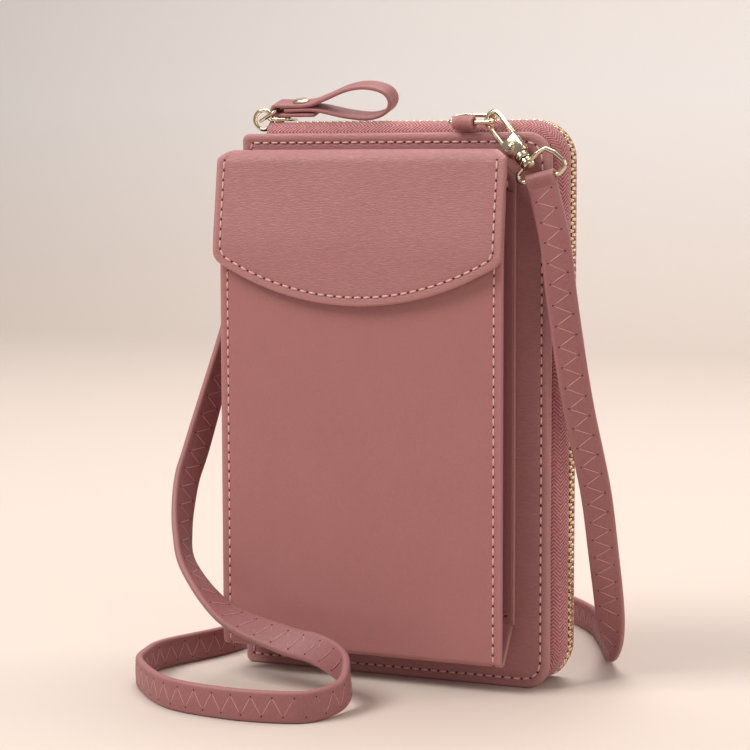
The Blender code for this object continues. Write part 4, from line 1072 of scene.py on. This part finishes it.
# Flap: one sheet that lies over the pouch's mouth and folds down its front to a bowed lip

flapValues = {"width": 107.1, "thickness": 1.9, "edge": 0.85, "rear": -2.6, "topZ": 184.3, "outerY": -18.7,
              "drop": 53.2, "bow": 100.8, "corner": 5.0, "clipAcross": 11.8, "clipDeep": 11.5, "seam": 3.1,
              "foldRadius": 4.4, "groove": 0.2, "bead": 0.14, "sewnFrom": 5.4, "lift": 0.06,
              "rows": (4.2, 3.4, 2.8, 2.3, 1.7, 0.9, 0),
              "bendStart": (0, -12.5, 183.6), "bendEnd": (0, -17.0, 178.6)}


def makeFlap(values, pouch):
    half = values["width"] / 2
    thick, edge, radius, seam = values["thickness"], values["edge"], values["corner"], values["seam"]
    topMiddle = values["topZ"] - thick / 2
    frontMiddle = values["outerY"] + thick / 2
    route = filleted([(values["rear"], topMiddle), (frontMiddle + pouch["lean"], topMiddle),
                      (frontMiddle, pouch["leanFrom"] + 4), (frontMiddle, topMiddle - values["drop"] - 5)],
                     [0, values["foldRadius"], 60, 0], False, 12)
    path, lengths = pathPlace(route, lambda point, across: (pouch["offset"] + across, point[0], point[1]))
    foldStart, foldEnd = lengths[1], lengths[13]
    bowCentre = values["topZ"] - values["drop"] + values["bow"]

    def place(x, s, h):
        return path(s, x, h)

    def lipDistance(x, inset):
        # The bowed lip's distance down the flap at x, with its round corners, moved in by an inset
        x = abs(x)
        bow, bend = values["bow"] - inset, radius - inset
        cornerX = half - inset - bend
        height = bowCentre - math.sqrt(bow ** 2 - min(x, cornerX * bow / (bow - bend)) ** 2)
        if x * (bow - bend) > cornerX * bow:
            height = bowCentre - math.sqrt((bow - bend) ** 2 - cornerX ** 2)
            height -= math.sqrt(max(bend ** 2 - (x - cornerX) ** 2, 0))
        return lengths[-2] + route[-2].y - height

    def rearDistance(x, inset):
        # The clipped rear corners
        over = abs(x) - (half - values["clipAcross"])
        slope = values["clipDeep"] / values["clipAcross"]
        return inset if over < 0 else inset + over * slope + min(over, inset) * (math.hypot(1, slope) - 1)

    outer = [half - radius + (radius - edge) * math.sin(math.radians(a)) for a in range(0, 91, 15)]
    outer += [half - values["clipAcross"], half - values["clipAcross"] - 2]
    outer = sorted({round(x, 3) for x in outer})
    grid = []
    for x in [-x for x in reversed(outer)] + list(np.linspace(-outer[0] + 4, outer[0] - 4, 19)) + outer:
        rear, lip = rearDistance(x, edge), lipDistance(x, edge)
        low = [lip - d for d in values["rows"]]
        below = foldEnd + 1
        column = [edge + (foldStart - 1 - edge) * k / 5 for k in range(6)]
        column += [foldStart + (foldEnd - foldStart) * k / 12 for k in range(13)]
        column = [rear + (s - edge) * (below - rear) / (below - edge) for s in column]
        column += [below + (low[0] - below) * k / 12 for k in range(12)]
        grid.append([(x, s) for s in column + low])
    relief = seamRelief(seam, values["groove"], values["bead"])
    shape = sheetShape(grid, place, thick, edge, None, lambda d, x, s: relief(d, x, s) if s > 4 else 0)
    fold = ("flap", "flap_end", toFrame(values["bendStart"]), toFrame(values["bendEnd"]))
    makePiece("flap_leather", shape, grainedLeather, ["flap_top", "flap_front"], fold)
    ends = [half - radius + (radius - seam) * math.sin(math.radians(a)) for a in (90, 70, 50, 30, 10)]
    across = [-x for x in ends] + list(np.linspace(-ends[-1] + 2, ends[-1] - 2, 40)) + ends[::-1]
    sides = [[(x, foldStart + values["sewnFrom"]), (x, foldEnd)] for x in (seam - half, half - seam)]
    line = sides[0] + [(x, lipDistance(x, seam)) for x in across] + sides[1][::-1]
    sew("flap_stitches", [needlePlaces(line, place, -thick / 2 + values["lift"])], fold)


rootValues = {"thickness": 1.8, "height": 13.9, "top": 182.1, "back": -2.1, "half": 40.75, "edge": 0.7}


def makeFlapRoot(values, pouch):
    # The strip that the flap hangs from, sewn along the top of the pouch's back
    middle = values["back"] - values["thickness"] / 2
    path = [(middle, values["top"] - values["height"]), (middle, values["top"])]
    shape = bandShape(path, onFront, pouch["offset"] - values["half"], pouch["offset"] + values["half"],
                      values["thickness"], values["edge"], (0, 1.5), 6)[0]
    makePiece("flap_root_leather", shape, satinLeather, ["flap_root"])


makeFlap(flapValues, pouchValues)
makeFlapRoot(rootValues, pouchValues)
print("flap made")


# Zip: herringbone tape, plated teeth laid by Geometry Nodes, and a slider

zipValues = {"stand": 3.6, "foot": 1.8, "corner": 13.0, "head": -49.3, "tail": -45.0, "tape": 0.8,
             "lap": 6.0, "footLap": 6.4, "turn": 1.0, "footTurn": 4.0, "pitch": 2.6, "teeth": 1.2,
             "gap": 0.3, "innerEdge": 2.6, "firstTooth": 9.4}
zipX = coverValues["width"] / 2 + zipValues["stand"]
zipZ = coverValues["height"] + zipValues["stand"]
zipY = coverValues["depth"] / 2
zipQuarter = zipValues["corner"] * math.pi / 2
zipTopRun = zipX - zipValues["corner"] - zipValues["head"]
zipSideRun = zipZ - zipValues["foot"] - 2 * zipValues["corner"]
zipFootRun = zipX - zipValues["corner"] - zipValues["tail"]
zipRun = zipTopRun + zipSideRun + zipFootRun + 2 * zipQuarter


def zipPoint(distance, outward):
    # A point on the zip's centre line in x and z, a distance from its head, moved outwards
    corner = zipValues["corner"]
    centreX = zipX - corner
    run = distance - zipTopRun
    foot = run - zipQuarter - zipSideRun
    if run <= 0:
        return Vector((centreX + run, zipZ + outward))
    if foot > zipQuarter:
        return Vector((centreX - (foot - zipQuarter), zipValues["foot"] - outward))
    if run <= zipQuarter:
        angle = math.pi / 2 - run / corner
        centreZ = zipZ - corner
    elif foot > 0:
        angle = -foot / corner
        centreZ = zipValues["foot"] + corner
    else:
        return Vector((zipX + outward, zipZ - corner - (run - zipQuarter)))
    reach = corner + outward
    return Vector((centreX + reach * math.cos(angle), centreZ + reach * math.sin(angle)))


def makeTape(hand, side, body, values):
    footStart = zipTopRun + zipQuarter + zipSideRun
    stations = denser([0, zipTopRun] + [zipTopRun + zipQuarter * k / 12 for k in range(1, 13)]
                      + [footStart + zipQuarter * k / 12 for k in range(13)] + [zipRun], 8)
    half = values["tape"] / 2
    seat = coverValues["thickness"] + values["gap"] + half
    inner = zipY - values["innerEdge"]
    points, flats = [], []
    for station in stations:
        share = min(max((station - footStart) / zipQuarter, 0), 1)
        lap, turn = [-(top + values["stand"]) * (1 - share) - (low - values["foot"]) * share for top, low in (
            (values["lap"], values["footLap"]), (values["turn"], values["footTurn"]))]
        line = [Vector((lap, seat)), Vector(((lap + turn) / 2, seat))]
        for angle in [math.radians(9 * step) for step in range(11)]:
            line.append(Vector((turn * (1 - math.sin(angle)), seat + (inner - seat) * (1 - math.cos(angle)))))
        reach = runLengths(line)
        sides = [(p, leftOf(runAt(line, k)) * half, r) for k, (p, r) in enumerate(zip(line, reach))]
        ring = [(p + n, r, half) for p, n, r in sides]
        ring.append((line[-1] + (line[-1] - line[-2]).normalized() * half, reach[-1] + half, 0))
        ring += [(p - n, r, -half) for p, n, r in reversed(sides)]
        for p, r, h in ring:
            x, z = zipPoint(station, p.x)
            points.append((x, p.y if side > 0 else coverValues["depth"] - p.y, z))
            flats.append((station, reach[-1] - r, h))
    shape = (points, solidFaces(len(points), len(ring)), flats, [0] * len(points))
    makePiece(hand + "_zip_twill_tape", shape, zipTwill, [hand + "_zip_tape"], body, 60)


def toothShape():
    # One tooth: legs that grip the tape's edge, a waist, and a rounded head past the middle.
    # x runs along the zip, y across to the other half, z outwards.
    sections = ((-2.5, 0.5, 0.46), (-2.35, 0.68, 0.74), (-1.2, 0.68, 0.74), (-0.75, 0.45, 0.56),
                (-0.35, 0.45, 0.56), (0.0, 0.68, 0.7), (0.35, 0.6, 0.62), (0.55, 0.36, 0.34))
    made = []
    sides = 8
    for y, wide, tall in sections:
        for angle in [2 * math.pi * (k + 0.5) / sides for k in range(sides)]:
            c, s = math.cos(angle), math.sin(angle)
            square = 1 / max(abs(c), abs(s)) ** 0.6
            made.append(Vector((wide * c * square, y, tall * s * square)))
    return made, solidFaces(len(made), sides)


def teethTree(tooth):
    tree, ports, given = newTree("teeth_row", {"Size": "Float", "Metal": "Material"})
    inward, outward = [addNode(tree, "GeometryNodeInputNamedAttribute", None, {"Name": name},
                               data_type="FLOAT_VECTOR") for name in ("inward", "outward")]
    source = addNode(tree, "GeometryNodeObjectInfo", None, {"Object": tooth}).outputs["Geometry"]
    places = addNode(tree, "GeometryNodeMeshToPoints", {"Mesh": given["Geometry"]}, mode="VERTICES")
    upright = turnedTo(tree, "Y", inward, outward)
    endTree(tree, laidOut(tree, places, source, upright, given["Size"], given["Metal"]))
    return tree, ports


def makeTeeth(hand, side, body, values, tree, ports):
    first = values["firstTooth"] + (0 if side > 0 else values["pitch"] / 2)
    count = int((zipRun - first) / values["pitch"]) - 1
    centres = [zipPoint(first + index * values["pitch"], 0) for index in range(count)]
    outs = [zipPoint(first + index * values["pitch"], 1) - centre for index, centre in enumerate(centres)]
    name = hand + "_zip_plated_teeth"
    mesh = newMesh(name, [toFrame((x, zipY, z)) for x, z in centres],
                   outward=[(x, 0, z) for x, z in outs], inward=[(0, side, 0)] * count)
    piece = grown(name, mesh, tree, ports, {"Size": mm, "Metal": toothGold})
    dress(piece, [hand + "_zip_teeth"], body)


def makeZip(values):
    halves = (("front", 1, "wallet"), ("back", -1, "back"))
    for half in halves:
        makeTape(*half, values)
    made, faces = toothShape()
    mesh = newMesh("tooth", made, faces=faces)
    faceOutwards(mesh)
    tooth = bpy.data.objects.new("tooth", mesh)
    tree, ports = teethTree(tooth)
    for half in halves:
        makeTeeth(*half, values, tree, ports)
    bpy.data.node_groups.remove(tree)
    bpy.data.objects.remove(tooth)


makeZip(zipValues)
print("zip made")


# Zip slider, ring, link, leather pull and rivet

sliderValues = {"left": -50.25, "length": 7.8, "half": 4.5, "plate": 1.0, "corner": 1.5, "gap": 0.3,
                "webStart": 0.5, "webLength": 3.3, "webHalf": 0.7, "eyeReach": 0.8, "eye": 1.35,
                "eyeWire": 0.35}
sliderPlateZ = zipZ + zipValues["teeth"] / 2 + sliderValues["gap"] + sliderValues["plate"] / 2
sliderEyeX = sliderValues["left"] - sliderValues["eyeReach"]


def makeSlider(values):
    left, right = values["left"], values["left"] + values["length"]
    box = boxCorners(left, zipY - values["half"], right, zipY + values["half"])
    half = values["plate"] / 2
    under = 2 * zipZ - sliderPlateZ
    plates = [slabShape(box, [values["corner"]] * 4, z - half, z + half, 0.3) for z in (sliderPlateZ, under)]
    webLeft = left + values["webStart"]
    web = slabShape(boxCorners(webLeft, zipY - values["webHalf"], webLeft + values["webLength"],
                               zipY + values["webHalf"]), [0.4] * 4, under, sliderPlateZ, 0.1)
    eye = tubeShape([(sliderEyeX + x, zipY + y, sliderPlateZ) for x, y in circle(values["eye"], 24)],
                    values["eyeWire"], True, 10)
    top = sliderPlateZ + half
    saddle = slabShape([(left + 1.6, zipY - 1.1), (right - 1.2, zipY - 0.7), (right - 1.2, zipY + 0.7),
                        (left + 1.6, zipY + 1.1)], [0.4] * 4, top - 0.1, top + 0.35, 0.2)
    metalPiece("zip_slider_body", joined(*plates, web, eye, saddle), "slider", "zip_slider")


pullValues = {"ring": 3.4, "ringWire": 0.75, "linkSeat": 0.85, "linkReach": (7.45, 0, 4.1), "linkWire": 0.68,
              "linkHalves": (2.2, 4.9), "linkCorner": 1.1,
              "roll": 17, "fold": 1.7, "length": 43.9, "rise": 7.9, "under": 14.9, "half": 4.0,
              "thickness": 1.4, "edge": 0.6, "rivet": 8.5}


def makePull(values):
    ringX = sliderEyeX - values["ring"]
    seat = Vector((ringX - values["linkSeat"], zipY, sliderPlateZ))
    bar = seat + Vector(values["linkReach"])
    turn = Matrix.Rotation(math.radians(values["roll"]), 3, "X")

    def rolled(point):
        # The whole pull lies a little on its side
        return turn @ (Vector(point) - bar) + bar

    ring = tubeShape([(ringX + x, zipY, sliderPlateZ + z) for x, z in circle(values["ring"], 48)],
                     values["ringWire"], True)
    metalPiece("pull_ring_wire", ring, "ring", "pull_ring")
    narrow, wide = values["linkHalves"]
    shares = [(narrow, 0), (wide, 0.5), (wide, 1), (-wide, 1), (-wide, 0.5), (-narrow, 0)]
    corners = [seat + Vector((0, y, 0)) + (bar - seat) * share for y, share in shares]
    link = tubeShape([rolled(p) for p in filleted(corners, values["linkCorner"], True)], values["linkWire"],
                     True)
    metalPiece("pull_link_wire", link, "pull", "pull_link")

    fold, length = values["fold"], values["length"]
    low, high = bar.z - fold, bar.z + fold
    nodes = [Vector((bar.x + values["under"], low)), Vector((bar.x, low))]
    nodes += arc((bar.x, bar.z), fold, 270, 90, 10)[1:]
    guides = [nodes[-2], nodes[-1], Vector((bar.x + 0.26 * length, high))]
    loop = ((0.41, 0.443), (0.635, 0.90), (0.81, 1.0), (0.955, 0.77), (1.0, 0.304),
            (0.943, -0.165), (0.795, -0.405), (0.59, -0.29), (0.34, 0.0))
    guides += [Vector((bar.x + a * length, bar.z + r * values["rise"])) for a, r in loop]
    guides.append(Vector((bar.x + 2.9, bar.z)))
    guides.append(guides[-1] * 2 - guides[-2])
    for k in range(1, len(guides) - 2):
        nodes += [smoothBetween(*guides[k - 1:k + 3], step / 6) for step in range(1, 7)]
    shape = bandShape(nodes, lambda p, w: rolled(onTop(p, w)), zipY - values["half"], zipY + values["half"],
                      values["thickness"], values["edge"], (0, 1.0, 2.0), 3)[0]
    makePiece("pull_leather_loop", shape, strapLeather, ["pull_leather"], "pull")

    top = high + values["thickness"] / 2
    under = low - values["thickness"] / 2
    head = ((0, 1.0), (1.4, 0.95), (2.4, 0.75), (2.95, 0.4), (3.0, 0.1), (2.8, -0.02), (1.1, 0))
    foot = ((1.1, 0), (2.0, 0.02), (2.2, -0.15), (2.0, -0.45), (1.2, -0.6), (0, -0.62))
    rivet = latheShape([(radius, top + z) for radius, z in head]
                       + [(radius, under + z) for radius, z in foot])
    made, faces = placed(rivet, (bar.x + values["rivet"], zipY, 0))
    metalPiece("pull_rivet_head", ([rolled(p) for p in made], faces), "pull", "pull_rivet")


makeSlider(sliderValues)
makePull(pullValues)
print("zip pull made")


# Strap tabs, D-rings, snap hooks and swivels

rightBar = Vector((29.4, -1.4, 193.2))
leftBar = Vector((-61.2, 11.0, 180.0))
rightUp = Vector((0, math.cos(math.radians(25)), math.sin(math.radians(25))))
leftUp = Vector((-0.5, 0, -math.cos(math.radians(30))))
ringValues = {"half": 7.8, "height": 6.2, "low": 3.2, "wire": 0.77, "sideShare": 0.25, "corner": 1.2}


def makeDRing(node, bar, along, up, body, values):
    # A straight bar closed by an oval bow
    half, low = values["half"], values["low"]
    bow = values["height"] - low
    flat = [(-half, 0), (half, 0)]
    flat += [(half * math.cos(a), low + bow * math.sin(a)) for a in np.linspace(0, math.pi, 21)]
    corners = [bar + along * a + up * b for a, b in flat]
    points = filleted(corners, [values["corner"]] * 2 + [0] * 21, True, 6)
    metalPiece(node + "_wire", tubeShape(points, values["wire"], True, 16), body, node)


tabValues = {"width": 7.6, "thickness": 1.2, "roll": 1.8, "edge": 0.5, "seam": 1.4, "pitch": 2.4,
             "sewn": (1.5, 8.5), "lift": 0.02,
             "right": {"legs": [(1.6, 180.8), (1.6, 190.3)], "middle": 26.8},
             "left": {"legs": [(-58.7, 168), (-58.7, 178)], "middle": zipY}}


def makeTab(hand, centre, put, values):
    # A strip sewn to the cover, rolled round the ring's bar
    half, middle = values["width"] / 2, values[hand]["middle"]
    path = values[hand]["legs"] + [tuple(p) for p in arc(centre, values["roll"], 0, 270, 16)]
    shape, place = bandShape(path, put, middle - half, middle + half, values["thickness"],
                             values["edge"], (0, 0.8, 1.6), 2)[:2]
    makePiece(hand + "_tab_leather", shape, grainedLeather, [hand + "_tab"])
    return place


def makeTabs(values):
    makeTab("right", (rightBar.y, rightBar.z), onFront, values)
    place = makeTab("left", (leftBar.x, leftBar.z), onTop, values)
    reach = values["width"] / 2 - values["seam"]
    lift = values["thickness"] / 2 + values["lift"]
    sew("left_tab_stitches", [
        needlePlaces([(s, w) for s in values["sewn"]], place, lift, values["pitch"])
        for w in (zipY - reach, zipY + reach)])


def frameOf(across, up):
    z = up.normalized()
    x = (across - z * across.dot(z)).normalized()
    return Matrix((x, z.cross(x), z)).transposed()


hookValues = {"half": 3.3, "deep": 1.8, "height": 7.2, "slotRight": 1.2, "slotDeep": 1.0, "slotLow": 5.8,
              "pinX": -0.6, "pinDrop": 3.4, "arm": 2.75, "wire": 0.88, "rise": 10.1, "armEnd": 8.1,
              "swivelDrop": 11.7, "gateHalf": 0.7, "gateKnee": 2.6, "gateEnd": 7.5, "gateBend": 1.5}
eyeValues = {"half": 6.3, "height": 8.8, "wire": 0.78, "corner": 1.5}
foldValues = {"half": 5.2, "thickness": 1.1, "edge": 0.5, "roll": 1.65}
clipValues = {
    "right": {
        "crossing": rightBar + Vector((ringValues["half"], 0, 0)) + rightUp * ringValues["height"]
        * ringValues["sideShare"],
        "down": (0.664, -0.32, -0.677), "across": (0.714, 0, 0.701), "reach": 9.8,
        "strapDown": (0.24, -0.026, -0.97), "strapSide": (0.97, 0, 0.24), "eyeStep": (4.96, -0.19, -4.78),
        "foldFoot": -4.2,
        "eye": ((-0.33, 0.77), (0.05, 0.95), (0.53, 1.07), (0.99, 0.83), (1.39, 0.45), (1.43, 0.22),
                (1.0, 0.0), (-1.0, 0.0), (-1.19, 0.06), (-1.25, 0.17), (-1.25, 0.35), (-0.84, 0.56))},
    "left": {
        "crossing": leftBar + leftUp * ringValues["height"],
        "down": (-0.05, 0, -1), "across": (1, 0, -0.05), "reach": 10.6,
        "strapDown": (-0.054, 0, -1), "strapSide": (0, 1, 0), "eyeStep": (-0.34, 0, -6.29), "foldFoot": -10.6,
        "eye": ((0.30, 0.76), (0.54, 0.95), (0.82, 0.80), (1.05, 0.56), (1.14, 0.27), (1.0, 0.0),
                (-1.0, 0.0), (-1.14, 0.27), (-1.05, 0.56), (-0.82, 0.80), (-0.54, 0.95), (-0.30, 0.76))},
}


def hookShape(values):
    # A forked block with a cast arm: z to the hook's tip, x across, y through
    half, deep, height, slot = values["half"], values["deep"], values["height"], values["slotDeep"]
    cheek = boxCorners(-half, -height, half, 0), [1.3, 1.3, 0.9, 1.5]
    wall = boxCorners(values["slotRight"], -height + 0.2, half - 0.1, -0.3), [0.2, 1.0, 0.7, 0.2]
    floor = boxCorners(-half + 0.2, -height + 0.1, half - 0.2, -values["slotLow"]), [1.0, 1.0, 0.2, 0.2]
    slabs = [slabShape(*cheek, -deep, -slot, 0.25), slabShape(*cheek, slot, deep, 0.25),
             slabShape(*wall, -deep + 0.2, deep - 0.2, 0.1), slabShape(*floor, -deep + 0.2, deep - 0.2, 0.1)]
    shapes = [placed(slab, turn=Matrix.Rotation(math.radians(90), 3, "X")) for slab in slabs]
    path = [Vector((2.35, 0, -1.2)), Vector((values["arm"], 0, 1.0))]
    path += [Vector((p.x, 0, p.y)) for p in arc((0, values["rise"]), values["arm"], 0, 180, 18)]
    path.append(Vector((-values["arm"], 0, values["armEnd"])))
    shapes.append(tubeShape(path, values["wire"], False, 16))
    shapes.append(latheShape([(0, -6.6), (1.7, -6.7), (1.6, -7.6), (2.2, -7.65), (2.5, -7.9), (2.5, -8.35),
                              (2.3, -8.5), (2.3, -8.7), (2.5, -8.85), (2.5, -9.6), (2.3, -9.85), (0.85, -9.9),
                              (0.8, -12.2), (0.6, -12.4), (0, -12.45)]))
    boss = latheShape([(0, 0.1), (0.55, 0.12), (0.6, 0.34), (0.95, 0.36), (1.1, 0.2), (1.5, 0.18),
                       (1.62, 0.05), (1.62, -0.3), (0, -0.3)], 28)
    for side in (-1, 1):
        shapes.append(placed(boss, (values["pinX"], -side * deep, -values["pinDrop"]),
                             Matrix.Rotation(math.radians(90 * side), 3, "X")))
    return joined(*shapes)


def gateShape(values):
    # A pressed lever on the pin, with a thumb step, that closes the hook's mouth
    x, drop, half = values["pinX"], values["pinDrop"], values["gateHalf"]
    knee, end = (-values["arm"], values["gateKnee"] - drop), (-values["arm"], values["gateEnd"])
    path = filleted([(x, -drop), knee, end], values["gateBend"], False, 6)
    section = ((-1, -0.6), (-0.6, -1), (0.6, -1), (1, -0.6), (1, 0.6), (0.6, 1), (-0.6, 1), (-1, 0.6))
    made = []
    for index, p in enumerate(path):
        out = leftOf(runAt(path, index)) * half
        made += [Vector((p.x + out.x * a, half * b, p.y + out.y * a)) for a, b in section]
    boss = latheShape([(0, -0.72), (1.35, -0.72), (1.48, -0.6), (1.48, 0.6), (1.35, 0.72), (0, 0.72)], 24)
    return joined((made, solidFaces(len(made), len(section))),
                  placed(boss, (x, 0, -drop), Matrix.Rotation(math.radians(90), 3, "X")))


def pinShape(values):
    deep = values["deep"] + 0.3
    half = [(0.6, deep), (1.05, deep), (1.05, deep + 0.2), (0.8, deep + 0.38), (0, deep + 0.4)]
    pin = latheShape(half[::-1] + [(radius, -z) for radius, z in half], 20)
    return placed(pin, (values["pinX"], 0, -values["pinDrop"]), Matrix.Rotation(math.radians(90), 3, "X"))


def makeClip(hand, values):
    down, strapDown = Vector(values["down"]).normalized(), Vector(values["strapDown"]).normalized()
    blockTop = values["crossing"] + down * values["reach"]
    turn = frameOf(Vector(values["across"]), -down)
    eyeBase = blockTop + down * hookValues["swivelDrop"] + Vector(values["eyeStep"])
    eyeTurn = frameOf(Vector(values["strapSide"]), -strapDown)
    for part, shape, body, node in (
            ("_hook_casting", hookShape, "_clip", "_hook"), ("_gate_lever", gateShape, "_clip_gate", "_gate"),
            ("_pin_steel", pinShape, "_clip", "_gate_pin")):
        metalPiece(hand + part, placed(shape(hookValues), blockTop, turn), hand + body, hand + node)
    collar = latheShape([(0, -10.25), (1.9, -10.25), (2.3, -10.5), (2.3, -11.1), (2.05, -11.25),
                         (2.05, -11.45), (2.3, -11.6), (2.3, -12.7), (2.0, -13.1), (0, -13.2)])
    wire = [Vector((a * eyeValues["half"], 0, b * eyeValues["height"])) for a, b in values["eye"]]
    eye = tubeShape(filleted(wire, eyeValues["corner"], True, 5), eyeValues["wire"], True, 12)
    metalPiece(hand + "_swivel_eye", joined(placed(collar, blockTop, turn), placed(eye, eyeBase, eyeTurn)),
               "wallet", hand + "_swivel")

    foot = values["foldFoot"]
    side = [(0.4, foot), (0.55, foot + 1.4), (0.95, foot + 2.4), (1.4, -0.9)]
    roll = [tuple(p) for p in arc((0, 0), foldValues["roll"], 0, 180, 14)]

    def put(point, w):
        return eyeBase + eyeTurn @ Vector((w, point[0], point[1]))

    shape = bandShape(side + roll + [(-y, z) for y, z in reversed(side)], put, -foldValues["half"],
                      foldValues["half"], foldValues["thickness"], foldValues["edge"], (0, 1.0, 2.0), 2)[0]
    makePiece(hand + "_strap_fold_leather", shape, strapLeather, [hand + "_strap_fold"])


makeDRing("right_d_ring", rightBar, Vector((1, 0, 0)), rightUp, "right_ring", ringValues)
makeDRing("left_d_ring", leftBar, Vector((0, 1, 0)), leftUp, "left_ring", ringValues)
makeTabs(tabValues)
for hand, values in clipValues.items():
    makeClip(hand, values)
print("clips made")


# Inside: card panels with slots and a middle pocket, in knit lining

panelValues = {"foot": 8.2, "height": 174.6, "left": 2.7, "right": 7.2, "seat": 0.4, "lining": 1.0,
               "card": 0.7, "inset": 1.2, "radii": (0.8, 0.8, 1.2, 1.2), "rows": (0, 1.5, 3.0),
               "tops": (1.0, 0.81, 0.71, 0.61, 0.50)}


def makeCardPanel(hand, side, body, values):
    # A lined sheet, and in front of it the cards' pockets, each one lower than the last
    left = -coverValues["width"] / 2 + values["left"]
    right = coverValues["width"] / 2 - values["right"]
    face = coverValues["thickness"] + values["seat"] + values["lining"]
    layers = []
    for index, top in enumerate(values["tops"]):
        thick = values["card"] if index else values["lining"]
        inset = values["inset"] if index else 0
        middle = face + values["card"] * index - thick / 2

        def place(x, z, h):
            return (x, middle + h if side > 0 else coverValues["depth"] - middle - h, z)

        box = (left + inset, values["foot"], right - inset, values["foot"] + values["height"] * top)
        edge = thick * 0.45
        grid = roundedGrid(box, values["radii"], edge, values["rows"], 12)
        layers.append(sheetShape(grid, place, thick, edge))
    makePiece(hand + "_card_panel_lining", joined(*layers), knitLining, [hand + "_card_panel"], body)


pocketValues = {"left": 2.4, "width": 103.3, "depth": 7.0, "height": 140.0, "foot": 10.0, "wall": 0.9,
                "edge": 0.35, "gap": 0.6, "bend": 1.2}


def makeMiddlePocket(values):
    # Two lined sheets joined at the sides and foot, open at the top
    left = -coverValues["width"] / 2 + values["left"]
    right = left + values["width"]
    half, gap = values["wall"] / 2, values["gap"]
    front, back = zipY - values["depth"] / 2 + half, zipY + values["depth"] / 2 - half
    low, high = values["foot"] + half, values["foot"] + values["height"]
    path = filleted([(front, high), (front, low), (back, low), (back, high)], values["bend"], False)
    shape = bandShape(path, onFront, left, right, values["wall"], values["edge"], (0, 1.5, 3), 10)[0]
    makePiece("middle_pocket_lining", shape, knitLining, ["middle_pocket"])
    for hand, x in (("left", left + half), ("right", right - half)):
        shape = bandShape([(x, front + gap), (x, back - gap)], onPlan, low + gap, high, values["wall"],
                          values["edge"], (0, 1.5), 10)[0]
        makePiece("middle_pocket_" + hand + "_side", shape, knitLining, ())


makeCardPanel("front", 1, "wallet", panelValues)
makeCardPanel("back", -1, "back", panelValues)
makeMiddlePocket(pocketValues)
print("lining made")

for node in ("pouch_snap", "flap_snap"):
    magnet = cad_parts[node].data
    magnet.materials.clear()
    magnet.materials.append(magnetSteel)

toFrame(strapRoute[0][0])
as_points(strapPath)
